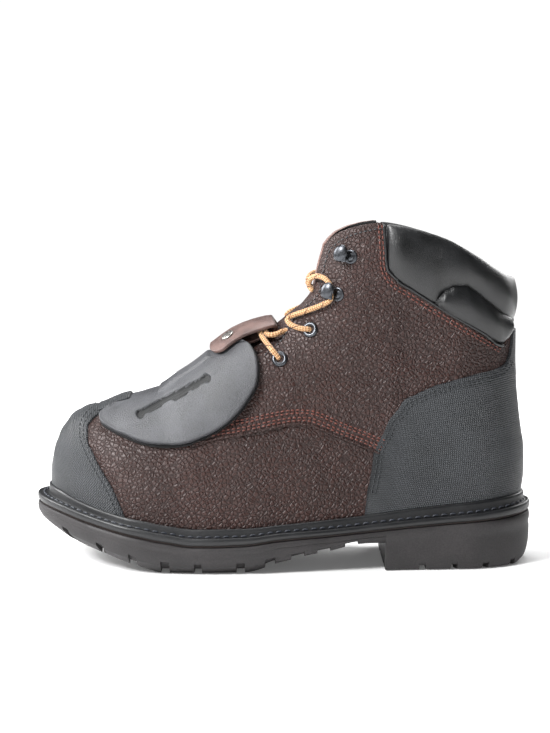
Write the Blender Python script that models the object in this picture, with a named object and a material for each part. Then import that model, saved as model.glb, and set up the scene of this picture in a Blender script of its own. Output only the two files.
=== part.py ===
"""Metatarsal guard boot for the left foot.

All sizes in the tables are millimetres; meshes are made in metres. +X runs to the heel, +Z is up and
-Y is the outer side of the foot. The origin is on the floor under the middle of the sole.
"""
import math

import bmesh
import bpy
import numpy as np

MM = 0.001
GAP = 0.3
OUTER, INNER = -1.0, 1.0
SIDES = ((OUTER, "outer"), (INNER, "inner"))

SOLE_LENGTH = 313.0
TOE_X = -SOLE_LENGTH / 2
HEEL_X = SOLE_LENGTH / 2
TOE_ROUND = 74.0
UPPER_TOE_ROUND = 65.0
HEEL_ROUND = 46.0

WALL = 2.4
OVERLAY = 1.2
OVERLAY_GAP = 1.0
COUNTER_GAP = 1.6
INSOLE_THICK = 4.0
TONGUE_THICK = 4.0
TONGUE_DEPTH = 5.4
GUARD_THICK = 3.2
PAD_THICK = 1.8
LACE_DIAMETER = 3.5
BEAD_HEIGHT = 4.0
UPPER_LIFT = 0.4


def table(names, *rows):
    """A short table as a dictionary of columns, so that a section is one row."""
    return {name: np.array(column, float) for name, column in zip(names.split(), zip(*rows))}


def smooth(xs, ys, x):
    """Cubic curve through the points whose slopes never overshoot them."""
    x = np.clip(np.asarray(x, float), xs[0], xs[-1])
    step = np.diff(xs)
    slope = np.diff(ys) / step
    product = slope[:-1] * slope[1:]
    total = np.where(product > 0, slope[:-1] + slope[1:], 1.0)
    middle = np.where(product > 0, 2 * product / total, 0.0)
    tangent = np.concatenate(([slope[0]], middle, [slope[-1]]))
    i = np.clip(np.searchsorted(xs, x, side="right") - 1, 0, len(xs) - 2)
    t = (x - xs[i]) / step[i]
    a = ys[i] + t * step[i] * tangent[i]
    b = ys[i + 1] - (1 - t) * step[i] * tangent[i + 1]
    near = t * t * (3 - 2 * t)
    return a * (1 - near) + b * near


def rounding(s, power=2.0):
    """0 at an edge and 1 one radius inside it, along a superellipse."""
    s = np.clip(s, 0.0, 1.0)
    return (1 - (1 - s) ** power) ** (1 / power)


# The plan of the welt: half width and centre line, and how far the upper stands inside the rim.
PLAN = table(
    "x half centre ledge",
    (TOE_X, 54.0, 8.0, 10.4),
    (-120.0, 56.0, 6.0, 9.8),
    (-92.0, 57.5, 1.2, 8.8),
    (-60.0, 58.0, 0.0, 8.2),
    (-30.0, 55.5, -2.0, 8.0),
    (0.0, 50.5, -4.2, 7.6),
    (30.0, 45.5, -4.6, 7.2),
    (60.0, 42.0, -3.6, 7.0),
    (95.0, 40.4, -2.0, 6.8),
    (120.0, 39.6, -1.2, 6.8),
    (HEEL_X, 38.6, -0.6, 6.8),
)

# Heights along the sole: lower edge of its side, tread face, groove, rim of the welt and top of the bead.
SOLE = table(
    "x edge tread groove rim bead",
    (TOE_X, 29.0, 26.5, 36.6, 42.4, 49.6),
    (-141.0, 23.6, 20.0, 33.8, 39.6, 46.0),
    (-124.0, 18.0, 14.0, 29.5, 35.4, 40.4),
    (-104.0, 12.2, 8.4, 25.3, 31.0, 35.6),
    (-86.0, 7.8, 3.2, 21.8, 27.8, 32.4),
    (-70.0, 5.1, 0.0, 18.9, 25.0, 29.4),
    (-50.0, 4.0, 0.0, 16.8, 22.8, 27.6),
    (-28.0, 4.5, 0.0, 17.2, 23.0, 27.8),
    (-4.0, 8.0, 5.4, 19.8, 25.2, 29.6),
    (28.0, 13.4, 12.0, 22.0, 27.0, 32.2),
    (57.6, 17.4, 16.8, 24.4, 29.6, 35.2),
    (90.0, 17.4, 16.8, 27.2, 32.6, 39.2),
    (121.0, 17.4, 16.8, 29.4, 35.2, 42.0),
    (HEEL_X, 17.4, 16.8, 31.8, 38.8, 44.6),
)
BREAST_TOP_X = 57.6
BREAST_FOOT_X = 62.9
HEEL_EDGE = table("x edge", (BREAST_FOOT_X, 0.5), (142.0, 0.5), (149.7, 2.7), (HEEL_X, 10.5))

# The back of the boot, as the leather runs up behind the heel.
BACK = table(
    "z x",
    (36.0, 149.4), (44.0, 149.7), (58.0, 151.0), (70.0, 150.9), (82.0, 149.4),
    (98.0, 147.4), (117.0, 145.8), (134.0, 145.2), (150.0, 145.2), (190.0, 145.6),
)
HEEL_SEAT_X = 149.5
BACK_ROUND = 43.0

# Sections of the upper. Each runs from a top point (tx, tz) to a bottom point b, which is measured along
# the feather line to HEEL_SEAT_X and then on up the back. full is the half width over that of the feather,
# round the radius of the top in the section, crest its centre line, and open the half width of the throat.
UPPER = table(
    "tx tz b full round crest open",
    (-146.2, 47.5, -146.0, 1.0, 4.0, 8.0, 0.0),
    (-146.0, 56.0, -145.0, 1.0, 14.0, 8.0, 0.0),
    (-144.6, 66.0, -142.6, 1.0, 24.0, 8.0, 0.0),
    (-141.6, 76.0, -138.8, 1.0, 36.0, 8.0, 0.0),
    (-136.2, 85.6, -133.0, 1.0, 48.0, 7.5, 0.0),
    (-128.0, 93.2, -125.0, 1.01, 56.0, 7.0, 0.0),
    (-117.0, 96.6, -113.0, 1.01, 60.0, 6.0, 0.0),
    (-102.0, 97.6, -97.0, 1.01, 64.0, 5.0, 0.0),
    (-82.0, 101.6, -75.0, 1.01, 70.0, 4.0, 0.0),
    (-62.0, 112.6, -50.0, 1.01, 76.0, 3.0, 0.0),
    (-42.0, 127.0, -20.0, 1.02, 80.0, 2.0, 0.0),
    (-26.0, 139.0, 12.0, 1.03, 80.0, 1.0, 23.0),
    (-11.0, 149.4, 45.0, 1.04, 74.0, 0.0, 24.0),
    (1.4, 159.0, 78.0, 1.05, 64.0, 0.0, 20.0),
    (11.0, 167.4, 108.0, 1.08, 56.0, -0.5, 18.0),
    (15.6, 175.5, 132.0, 1.11, 54.0, -1.0, 18.0),
    (18.0, 184.5, 146.0, 1.13, 52.0, -1.0, 18.0),
    (20.2, 193.0, 162.0, 1.14, 50.0, -1.0, 18.0),
    (22.4, 201.5, 186.0, 1.14, 50.0, -1.0, 18.0),
    (24.4, 210.5, 214.0, 1.16, 50.0, -1.0, 18.0),
    (27.0, 220.0, 252.0, 1.18, 50.0, -1.0, 18.0),
    (32.0, 234.0, 306.0, 1.20, 50.0, -1.0, 18.0),
)
LAST_ROW = len(UPPER["tx"]) - 1
TOE_POWER = 2.2

# Side view lines (x, z), read from the front of the boot to its back.
FACING_TOP = ((27.6, 197.4), (32.4, 202.6), (40.0, 207.2), (48.0, 210.0), (56.0, 211.8), (62.0, 212.6))
COLLAR_SEAM = (
    (62.6, 212.6), (63.7, 196.3), (64.8, 184.2), (67.6, 179.8), (78.6, 172.4),
    (90.6, 164.7), (106.7, 154.8), (123.4, 145.1), (136.5, 137.0), (139.6, 140.0), (142.4, 147.5),
    (144.0, 150.2), (156.0, 150.6),
)

# Heights of the collar's lower and upper edge, and of the roll's, from the front to the back.
COLLAR = table(
    "x low high",
    (65.6, 184.4, 212.4), (68.6, 180.6, 212.0), (75.4, 175.9, 210.7), (86.8, 168.6, 207.7),
    (91.5, 166.2, 206.4), (96.6, 171.4, 204.6), (101.2, 174.6, 202.8), (106.4, 176.3, 200.2),
    (110.8, 176.3, 197.8), (114.6, 174.5, 195.6), (123.1, 168.2, 190.4), (132.1, 161.4, 184.6),
    (139.0, 156.4, 180.8), (146.0, 154.2, 178.4),
)
ROLL = table(
    "x low high",
    (92.4, 164.0, 165.2), (96.6, 161.6, 170.0), (101.2, 158.8, 173.2), (106.4, 155.6, 174.9),
    (110.8, 153.0, 174.9), (114.6, 151.0, 173.1), (123.1, 146.2, 166.8), (130.0, 142.4, 161.4),
    (134.5, 140.6, 158.2), (138.0, 142.0, 155.8), (141.0, 149.0, 154.2), (143.0, 151.4, 153.4),
    (146.0, 151.6, 153.2),
)
COLLAR_FRONT_X = 65.6
ROLL_FRONT_X = 92.4
CAP_EDGE = (
    (-95.4, 33.0), (-102.9, 49.9), (-110.3, 61.3), (-117.9, 73.1), (-121.4, 81.1), (-121.6, 85.5),
    (-119.6, 89.6), (-116.2, 92.4), (-111.6, 94.4), (-106.6, 96.0), (-102.6, 97.2), (-100.4, 97.9),
)
COUNTER_EDGE = (
    (50.0, 35.0), (51.6, 47.6), (54.5, 62.1), (56.3, 74.5), (61.2, 84.4), (64.9, 92.9), (70.9, 99.9),
    (74.6, 105.2), (80.1, 107.7), (87.4, 111.4), (97.8, 115.2), (103.4, 116.7), (119.7, 120.9),
    (134.7, 124.3), (139.4, 129.6), (141.4, 137.0), (143.6, 146.8),
)
GUARD_EDGE = (
    (-100.6, 96.6), (-104.8, 95.2), (-109.6, 93.2), (-113.6, 90.8), (-112.6, 87.8), (-107.8, 85.0),
    (-96.9, 80.7), (-84.4, 77.2), (-72.6, 76.4), (-61.1, 77.4), (-49.5, 81.5), (-37.9, 87.5),
    (-26.4, 97.7), (-20.3, 105.8), (-16.0, 113.1), (-14.6, 120.8), (-15.4, 129.7), (-19.0, 135.6),
    (-28.0, 133.5),
)
GUARD_NOSE = (-97.4, 98.4)
SLOT = (
    (-90.2, 97.6), (-89.4, 94.8), (-87.0, 94.2), (-48.6, 115.0), (-45.4, 117.0), (-45.8, 119.4),
    (-48.6, 119.6),
)


def ledge(x):
    """How far the upper stands inside the rim of the welt."""
    return smooth(PLAN["x"], PLAN["ledge"], x)


def groove(x):
    """Height of the groove between the outsole and the welt."""
    return smooth(SOLE["x"], SOLE["groove"], x)


def rim(x):
    """Height of the welt's rim."""
    return smooth(SOLE["x"], SOLE["rim"], x)


def bead(x):
    """Height of the bead's top."""
    return smooth(SOLE["x"], SOLE["bead"], x)


def seat(x):
    """Height of the face that the upper and the insole stand on."""
    return bead(x) - BEAD_HEIGHT


def back_x(z):
    """The leather's place behind the heel at a height."""
    return smooth(BACK["z"], BACK["x"], z)


def bottom_point(b):
    """Side view point a distance b along the feather line, and beyond the heel seat up the back."""
    z_heel = seat(HEEL_SEAT_X) + UPPER_LIFT
    rise = np.maximum(b - HEEL_SEAT_X, 0.0)
    z = np.where(rise > 0, z_heel + rise, seat(np.minimum(b, HEEL_SEAT_X)) + UPPER_LIFT)
    x = np.where(rise > 0, back_x(z_heel + rise), np.minimum(b, back_x(z)))
    return x, z


def row(name, r):
    """A column of the upper's sections at a section number r that need not be whole."""
    numbers = np.arange(LAST_ROW + 1)
    return smooth(numbers, UPPER[name], r)


def closing(r):
    """0 where a section ends at the feather line and 1 where it closes behind the heel."""
    near = np.clip((row("b", r) - 105.0) / (HEEL_SEAT_X - 105.0), 0.0, 1.0)
    return near * near * (3 - 2 * near)


def share(r, t):
    """The part a of the way down a section at parameter t, close together where the section is round."""
    arc = math.pi * (1 + closing(r)) / 2
    return (1 - np.cos(arc * t)) / (1 - np.cos(arc))


def parameter(r, a):
    """The parameter t at a part a of the way down."""
    arc = math.pi * (1 + closing(r)) / 2
    return np.arccos(np.clip(1 - a * (1 - np.cos(arc)), -1, 1)) / arc


def side_view(r, t):
    """Point of a section in the side view."""
    a = share(r, t)
    tx, tz = row("tx", r), row("tz", r)
    bx, bz = bottom_point(row("b", r))
    return tx + a * (bx - tx), tz + a * (bz - tz)


def surface(r, t, side):
    """Outer face of the upper: a point as an array whose last axis is x, y, z."""
    r, t = np.broadcast_arrays(np.asarray(r, float), np.asarray(t, float))
    a = share(r, t)
    b = row("b", r)
    tx, tz = row("tx", r), row("tz", r)
    bx, bz = bottom_point(b)
    x, z = tx + a * (bx - tx), tz + a * (bz - tz)
    foot = np.minimum(b, HEEL_SEAT_X)
    toe = rounding((foot - (TOE_X + ledge(TOE_X))) / UPPER_TOE_ROUND)
    feather = (smooth(PLAN["x"], PLAN["half"], foot) - ledge(foot)) * toe
    half = feather * (a * a + row("full", r) * (1 - a * a))
    length = np.hypot(bx - tx, bz - tz)
    half = half * rounding(a * length / row("round", r), TOE_POWER)
    half = half * rounding((back_x(z) - x) / BACK_ROUND)
    centre = smooth(PLAN["x"], PLAN["centre"], foot) * a * a + row("crest", r) * (1 - a * a)
    return np.stack([x, centre + side * half, z], -1)


def normal(r, t, side):
    """Outward direction of the upper's face."""
    step = 0.01
    r, t = np.broadcast_arrays(np.asarray(r, float), np.asarray(t, float))
    inside = np.clip(r, step, LAST_ROW - step)
    t_in = np.clip(t, step, 1 - step)
    along = surface(inside + step, t_in, side) - surface(inside - step, t_in, side)
    round_it = surface(inside, t_in + step, side) - surface(inside, t_in - step, side)
    out = np.cross(along, round_it) * side
    middle = (t < 2 * step) | ((t > 1 - 2 * step) & (closing(r) > 0.999))
    out[..., 1] = np.where(middle, 0.0, out[..., 1])
    return out / np.linalg.norm(out, axis=-1, keepdims=True)


def offset(r, t, side, distance):
    """The upper's face moved out by a distance."""
    return surface(r, t, side) + normal(r, t, side) * np.asarray(distance, float)[..., None]


def locate(points):
    """Section number and parameter of side view points."""
    points = np.asarray(points, float)
    r = np.linspace(0, LAST_ROW, 40 * LAST_ROW + 1)
    tx, tz = row("tx", r), row("tz", r)
    bx, bz = bottom_point(row("b", r))
    found = []
    for x, z in points:
        across = (bx - tx) * (z - tz) - (bz - tz) * (x - tx)
        a = ((x - tx) * (bx - tx) + (z - tz) * (bz - tz)) / ((bx - tx) ** 2 + (bz - tz) ** 2)
        change = (np.sign(across[:-1]) != np.sign(across[1:])) & (a[:-1] > -0.3) & (a[:-1] < 1.3)
        i = np.flatnonzero(change)[0] if change.any() else int(np.argmin(np.abs(across)))
        i = min(i, len(r) - 2)
        part = across[i] / (across[i] - across[i + 1]) if change.any() else 0.0
        here = r[i] + part * (r[i + 1] - r[i])
        found.append((here, float(parameter(here, np.clip(a[i] + part * (a[i + 1] - a[i]), 0, 1)))))
    return np.array(found)


def resample(points, count):
    """Points evenly spaced along a smooth curve through a short list."""
    points = np.asarray(points, float)
    run = np.concatenate(([0], np.cumsum(np.linalg.norm(np.diff(points, axis=0), axis=1))))
    fine = np.linspace(0, run[-1], 40 * len(points))
    dense = np.stack([smooth(run, points[:, k], fine) for k in range(points.shape[1])], -1)
    walk = np.concatenate(([0], np.cumsum(np.linalg.norm(np.diff(dense, axis=0), axis=1))))
    even = np.linspace(0, walk[-1], count)
    return np.stack([np.interp(even, walk, dense[:, k]) for k in range(points.shape[1])], -1)


def clear_scene():
    """Remove what the scene holds."""
    for old in list(bpy.data.objects):
        bpy.data.objects.remove(old, do_unlink=True)


def material(name, colour, roughness, metallic=0.0):
    """A plain surface of the piece's own colour, given as red, green and blue from 0 to 1."""
    made = bpy.data.materials.new(name)
    made.use_nodes = True
    shader = made.node_tree.nodes["Principled BSDF"]
    shader.inputs["Base Color"].default_value = (*colour, 1.0)
    shader.inputs["Roughness"].default_value = roughness
    shader.inputs["Metallic"].default_value = metallic
    return made


def solid(name, points, faces, surface_material, sharp=40.0):
    """One closed mesh object from points in millimetres, its faces turned outwards."""
    mesh = bpy.data.meshes.new(name)
    mesh.from_pydata([tuple(p) for p in np.asarray(points, float) * MM], [], faces)
    build = bmesh.new()
    build.from_mesh(mesh)
    bmesh.ops.remove_doubles(build, verts=build.verts, dist=1e-6)
    bmesh.ops.recalc_face_normals(build, faces=build.faces)
    build.to_mesh(mesh)
    build.free()
    mesh.shade_smooth()
    mesh.set_sharp_from_angle(angle=math.radians(sharp))
    mesh.materials.append(surface_material)
    piece = bpy.data.objects.new(name, mesh)
    bpy.context.scene.collection.objects.link(piece)
    return piece


def subtract(piece, cutter):
    """Cut one object out of another."""
    cutter.hide_render = True
    cutter.display_type = "WIRE"
    cut = piece.modifiers.new("cut_" + cutter.name, "BOOLEAN")
    cut.operation = "DIFFERENCE"
    cut.object = cutter


def shell(name, outside, inside, surface_material, loop=False):
    """A closed wall between two grids of points of the same shape (rows, columns, 3)."""
    rows, columns = outside.shape[:2]
    count = rows * columns
    points = np.concatenate([outside.reshape(-1, 3), inside.reshape(-1, 3)])

    def at(i, j, layer):
        return layer * count + i * columns + (j % columns)

    faces = []
    last = columns if loop else columns - 1
    for i in range(rows - 1):
        for j in range(last):
            faces.append((at(i, j, 0), at(i + 1, j, 0), at(i + 1, j + 1, 0), at(i, j + 1, 0)))
            faces.append((at(i, j, 1), at(i, j + 1, 1), at(i + 1, j + 1, 1), at(i + 1, j, 1)))
    for j in range(last):
        faces.append((at(0, j, 0), at(0, j + 1, 0), at(0, j + 1, 1), at(0, j, 1)))
        faces.append((at(rows - 1, j, 0), at(rows - 1, j, 1), at(rows - 1, j + 1, 1), at(rows - 1, j + 1, 0)))
    if not loop:
        for i in range(rows - 1):
            faces.append((at(i, 0, 0), at(i, 0, 1), at(i + 1, 0, 1), at(i + 1, 0, 0)))
            faces.append((at(i, columns - 1, 0), at(i + 1, columns - 1, 0),
                          at(i + 1, columns - 1, 1), at(i, columns - 1, 1)))
    return solid(name, points, faces, surface_material)


def stations():
    """Places along the sole: close together round the toe and heel, with the heel breast among them."""
    ends = 1 - np.cos(np.linspace(0, math.pi / 2, 9))
    toe = TOE_X + 62.0 * ends
    heel = HEEL_X - 44.0 * ends[::-1]
    middle = [-80.0, -66.0, -50.0, -34.0, -18.0, -2.0, 14.0, 30.0, 44.0, BREAST_TOP_X, BREAST_FOOT_X, 78.0, 96.0]
    return np.concatenate([toe, middle, heel])


def plan_ring(x, inset):
    """Outline moved in by a distance at each station: the places, and the two sides' y."""
    end = np.clip((np.abs(x) - 90.0) / (HEEL_X - 90.0), 0, 1)
    moved = x - inset * end * np.sign(x)
    half = (smooth(PLAN["x"], PLAN["half"], x) - inset)
    half = half * rounding((x - TOE_X) / TOE_ROUND) * rounding((HEEL_X - x) / HEEL_ROUND)
    centre = smooth(PLAN["x"], PLAN["centre"], x)
    return moved, centre - half, centre + half


def ringed_solid(name, rings, surface_material):
    """A solid from rings of the sole's outline, each an inset and a height function, closed at both ends."""
    x = stations()
    n = len(x)
    loop = 2 * n - 2
    points = []
    for inset, height in rings:
        px, low, high = plan_ring(x, np.broadcast_to(inset, x.shape))
        heights = height(px)
        points.extend((px[i], low[i], heights[i]) for i in range(n))
        points.extend((px[i], high[i], heights[i]) for i in range(n - 2, 0, -1))
    faces = []
    for k in range(len(rings) - 1):
        for i in range(loop):
            j = (i + 1) % loop
            faces.append((k * loop + i, k * loop + j, (k + 1) * loop + j, (k + 1) * loop + i))
    for base in (0, (len(rings) - 1) * loop):
        faces.append((base, base + 1, base + loop - 1))
        for i in range(1, n - 2):
            faces.append((base + i, base + i + 1, base + loop - i - 1, base + loop - i))
        faces.append((base + n - 2, base + n - 1, base + n))
    return solid(name, points, faces, surface_material)


def edge_height(x):
    """Lower edge of the sole's side, with the heel block behind its breast."""
    return np.where(x < BREAST_FOOT_X - 0.01, smooth(SOLE["x"], SOLE["edge"], x),
                    smooth(HEEL_EDGE["x"], HEEL_EDGE["edge"], x))


def tread_height(x):
    """The face that stands on the floor."""
    return np.where(x < BREAST_FOOT_X - 0.01, smooth(SOLE["x"], SOLE["tread"], x),
                    np.maximum(0.0, smooth(HEEL_EDGE["x"], HEEL_EDGE["edge"], x - 6.0) - 0.5))


def tread_bar(name, x, width, depth, tilt=0.0):
    """A cutter for a channel across the sole."""
    z = float(tread_height(x))
    low, high = z - 20.0, z + depth
    points = []
    for y in (-80.0, 80.0):
        shift = tilt * abs(y) / 80.0
        for px, pz in ((-width / 2, low), (width / 2, low), (width / 2, high - 0.8), (width / 4, high),
                       (-width / 4, high), (-width / 2, high - 0.8)):
            points.append((x + px + shift, y, pz))
    faces = [tuple(range(5, -1, -1)), tuple(range(6, 12))]
    faces += [(i, (i + 1) % 6, (i + 1) % 6 + 6, i + 6) for i in range(6)]
    cutter = solid(name, points, faces, material(name, (0.5, 0.5, 0.5), 0.5))
    cutter.hide_render = True
    cutter.display_type = "WIRE"
    return cutter


# Channels across the tread: place, width and depth.
CHANNELS = table(
    "x width depth",
    (-136.0, 4.0, 5.2), (-113.0, 4.5, 5.6), (-92.0, 5.0, 5.6), (-72.0, 5.0, 6.4), (-52.0, 4.5, 6.4),
    (-26.0, 5.0, 6.6), (-8.0, 6.0, 4.6), (9.0, 8.0, 3.8), (25.0, 8.0, 3.2), (42.0, 8.0, 2.8),
    (86.0, 4.0, 3.2), (106.0, 4.0, 3.2), (126.0, 4.0, 3.2), (144.0, 3.0, 4.6),
)


def make_outsole():
    """Rubber outsole: a band under the groove, rounded lower edge, tread and heel block."""
    rubber = material("outsole_rubber", (0.10, 0.095, 0.10), 0.75)
    outsole = ringed_solid("outsole", [
        (3.4, groove), (0.9, groove), (0.0, lambda x: groove(x) - 2.2),
        (0.5, lambda x: (groove(x) + edge_height(x)) / 2), (1.3, lambda x: edge_height(x) + 2.0),
        (2.8, edge_height), (9.5, tread_height),
    ], rubber)
    for i, (place, width, depth) in enumerate(zip(CHANNELS["x"], CHANNELS["width"], CHANNELS["depth"])):
        subtract(outsole, tread_bar(f"channel_cut_{i}", place, width, depth))


def make_welt():
    """Midsole and welt: a round band, the stitched ledge and the bead that hugs the upper."""
    inner = ledge(stations())
    rubber = material("welt_rubber", (0.14, 0.14, 0.15), 0.6)
    ringed_solid("welt", [
        (3.4, lambda x: groove(x) + GAP), (0.9, lambda x: groove(x) + GAP),
        (0.0, lambda x: groove(x) + 2.5), (0.0, lambda x: rim(x) - 1.2), (1.0, rim),
        (inner - 3.4, lambda x: rim(x) + 0.5), (inner - 2.8, lambda x: bead(x) - 0.9),
        (inner - 1.6, bead), (inner - 0.6, lambda x: bead(x) - 0.4), (inner - 0.5, seat),
    ], rubber)


def make_insole():
    """Flat footbed inside the upper."""
    inner = ledge(stations()) + WALL + 2.2
    top = GAP + INSOLE_THICK
    foam = material("insole_fabric", (0.12, 0.12, 0.12), 0.9)
    ringed_solid("insole", [
        (inner, lambda x: seat(x) + GAP), (inner, lambda x: seat(x) + top - 1.0),
        (inner + 1.2, lambda x: seat(x) + top),
    ], foam)


def closes():
    """Section number from which the counter runs unbroken round the heel, just over the bead."""
    return float(np.interp(HEEL_SEAT_X + BEAD_HEIGHT + 1.4, UPPER["b"], np.arange(LAST_ROW + 1)))


def heel_rows():
    """Section numbers round the heel's lower corner, close together."""
    return np.concatenate([np.linspace(14.4, closes(), 6), np.linspace(closes(), 17.4, 3)[1:]])


def upper_rows():
    """Section numbers of the upper's mesh."""
    return np.concatenate([np.linspace(0, 9, 15), np.linspace(9.6, 13.8, 8), heel_rows(),
                           np.linspace(18.0, LAST_ROW, 5)])


def edge_parameter(r, half, power=TOE_POWER):
    """Parameter where a section is a given half width from its centre line, near its top."""
    b = np.minimum(row("b", r), HEEL_SEAT_X)
    wide = (smooth(PLAN["x"], PLAN["half"], b) - ledge(b)) * row("full", r)
    part = 1 - (1 - np.clip(half / wide, 0, 1) ** power) ** (1 / power)
    bx, bz = bottom_point(row("b", r))
    length = np.hypot(bx - row("tx", r), bz - row("tz", r))
    return parameter(r, part * row("round", r) / length)


def throat(r):
    """Parameter where the throat's edge lies on a section."""
    return edge_parameter(r, row("open", r))


def above_bead(r, rise=1.5):
    """Parameter where a section passes over the welt's bead; 1 where it closes behind the heel."""
    bx, bz = bottom_point(row("b", r))
    drop = np.maximum(row("tz", r) - bz, 1e-3)
    top = 1 - np.clip((bead(bx) + rise - bz) / drop, 0.0, 0.97)
    return parameter(r, top)


def side_prism(name, outline, y_low, y_high):
    """A cutter: a side view outline drawn through the boot."""
    n = len(outline)
    points = [(x, y, z) for y in (y_low, y_high) for x, z in outline]
    faces = [tuple(range(n - 1, -1, -1)), tuple(range(n, 2 * n))]
    faces += [(i, (i + 1) % n, (i + 1) % n + n, i + n) for i in range(n)]
    return solid(name, points, faces, material(name, (0.5, 0.5, 0.5), 0.5))


def wall(name, r, t, distances, surface_material):
    """A wall on both sides of the boot between two offsets of the upper's face.

    r and t are grids (rows, columns) of section numbers and parameters. The sides are joined along the
    first column where t is 0, and along the last column where the section closes behind the heel.
    """
    rows, columns = r.shape
    at_top = t[:, 0] < 1e-6
    at_back = (t[:, -1] > 1 - 1e-6) & (closing(r[:, -1]) > 0.999)
    number = np.zeros((2, 2, rows, columns), int)
    points, faces = [], []
    for layer, distance in enumerate(distances):
        for k, (side, _) in enumerate(SIDES):
            grid = offset(r, t, side, np.full(r.shape, distance))
            open_end = (t[:, -1] > 1 - 1e-6) & ~at_back
            grid[open_end, -1, 2] = surface(r[:, -1], t[:, -1], side)[open_end, 2]
            for i in range(rows):
                for j in range(columns):
                    shared = (j == 0 and at_top[i]) or (j == columns - 1 and at_back[i])
                    if shared and k == 1:
                        number[layer, 1, i, j] = number[layer, 0, i, j]
                    else:
                        number[layer, k, i, j] = len(points)
                        points.append(grid[i, j])

    def rim_wall(k, chain):
        """Faces that join the two layers along a chain of grid places."""
        for (a, b), (c, d) in zip(chain, chain[1:]):
            faces.append((number[0, k, a, b], number[0, k, c, d], number[1, k, c, d], number[1, k, a, b]))

    for k in range(2):
        for i in range(rows - 1):
            for j in range(columns - 1):
                corners = ((i, j), (i + 1, j), (i + 1, j + 1), (i, j + 1))
                for layer in range(2):
                    faces.append(tuple(number[layer, k, a, b] for a, b in corners))
            if not (at_top[i] and at_top[i + 1]):
                rim_wall(k, [(i, 0), (i + 1, 0)])
            if not (at_back[i] and at_back[i + 1]):
                rim_wall(k, [(i, columns - 1), (i + 1, columns - 1)])
        rim_wall(k, [(0, j) for j in range(columns)])
        rim_wall(k, [(rows - 1, j) for j in range(columns)])
    cleaned = [face for face in (tuple(dict.fromkeys(f)) for f in faces) if len(face) > 2]
    return solid(name, points, cleaned, surface_material)


def make_upper():
    """The hollow leather upper, open underneath, down the throat and at the collar."""
    leather = material("upper_leather", (0.055, 0.033, 0.028), 0.5)
    rows = upper_rows()[:, None]
    start = np.where(row("open", rows) > 1e-6, throat(rows), 0.0)
    t = start + (1 - start) * np.linspace(0, 1, 13)[None, :]
    upper = wall("upper", np.broadcast_to(rows, t.shape), t, (0.0, -WALL), leather)
    crown = [*FACING_TOP, *COLLAR_SEAM, (170.0, 150.6), (170.0, 260.0), (0.0, 260.0), (0.0, 197.4)]
    subtract(upper, side_prism("crown_cut", crown, -90.0, 90.0))


def make_toe_cap():
    """Black cap over the toe, down to the bead."""
    edge = locate(CAP_EDGE)
    part = np.clip(edge[:, 1] / above_bead(edge[:, 0]), 0, 1)
    order = np.argsort(part)
    across = np.linspace(0, 1, 10)
    last = np.interp(across, part[order], edge[order, 0])
    r = 0.12 + (last - 0.12)[None, :] * np.linspace(0, 1, 9)[:, None]
    t = above_bead(r) * across[None, :]
    synthetic = material("cap_synthetic", (0.08, 0.082, 0.087), 0.55)
    wall("toe_cap", r, t, (OVERLAY_GAP + OVERLAY, OVERLAY_GAP), synthetic)


def make_heel_counter():
    """Black counter round the heel, with the tab that runs up behind it."""
    edge = locate(COUNTER_EDGE)
    edge = edge[np.argsort(edge[:, 0])]
    rows = np.concatenate([np.linspace(edge[0, 0], 13.8, 4), heel_rows(),
                           np.linspace(17.7, edge[-1, 0], 6)])
    first = np.interp(rows, edge[:, 0], edge[:, 1])[:, None]
    last = np.where(rows > closes() - 1e-6, 1.0, above_bead(rows))[:, None]
    t = np.minimum(first, last - 0.02) + (last - np.minimum(first, last - 0.02)) * np.linspace(0, 1, 8)
    r = np.broadcast_to(rows[:, None], t.shape)
    synthetic = material("counter_synthetic", (0.075, 0.077, 0.082), 0.5)
    wall("heel_counter", r, t, (COUNTER_GAP + OVERLAY, COUNTER_GAP), synthetic)


# First and last section of the tongue, how far it reaches under the facings, and its least half width.
TONGUE_ROWS = (10.4, 17.6)
TONGUE_LAP = 7.0
TONGUE_HALF = 16.0


def make_tongue():
    """Tongue behind the facings."""
    rows = np.linspace(*TONGUE_ROWS, 11)[:, None]
    wide = edge_parameter(rows, np.maximum(row("open", rows) + TONGUE_LAP, TONGUE_HALF))
    t = wide * np.linspace(0, 1, 6)[None, :]
    r = np.broadcast_to(rows, t.shape)
    leather = material("tongue_leather", (0.05, 0.03, 0.026), 0.7)
    wall("tongue", r, t, (-TONGUE_DEPTH, -TONGUE_DEPTH - TONGUE_THICK), leather)


def padded_band(name, bands, front_x, puff, surface_material):
    """A padded band round the ankle: heights of its two edges, and how far its faces puff out and in."""
    columns = 11
    turn = np.sin(np.linspace(0, math.pi / 2, columns))
    places = []
    across = np.linspace(0, 1, 5)
    for k, part in enumerate(turn):
        guess = front_x + (back_x(160.0) - front_x) * part
        low = float(smooth(bands["x"], bands["low"], guess))
        high = float(smooth(bands["x"], bands["high"], guess))
        z = low + (high - low) * (1 - np.cos(math.pi * across)) / 2
        places.append(np.stack([np.full(across.shape, guess), z], -1))
    places = np.array(places)
    spots = locate(places.reshape(-1, 2)).reshape(columns, len(across), 2)
    spots[-1, :, 1] = 1.0
    swell = np.sin(math.pi * across) ** 0.7
    out = puff[0] + (puff[1] - puff[0]) * swell
    back = puff[2] + (puff[3] - puff[2]) * swell
    outside = []
    inside = []
    for distance, grid in ((out, outside), (back, inside)):
        for side, order in ((OUTER, range(columns)), (INNER, range(columns - 2, -1, -1))):
            for i in order:
                grid.append(offset(spots[i, :, 0], spots[i, :, 1], side, distance))
    return shell(name, np.array(outside), np.array(inside), surface_material)


# How far each band's outer and inner face stands off the leather at its edges and in its middle.
COLLAR_PUFF = (-2.2, 1.6, -5.8, -8.6)
ROLL_PUFF = (-2.2, 2.2, -5.8, -8.2)


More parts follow.
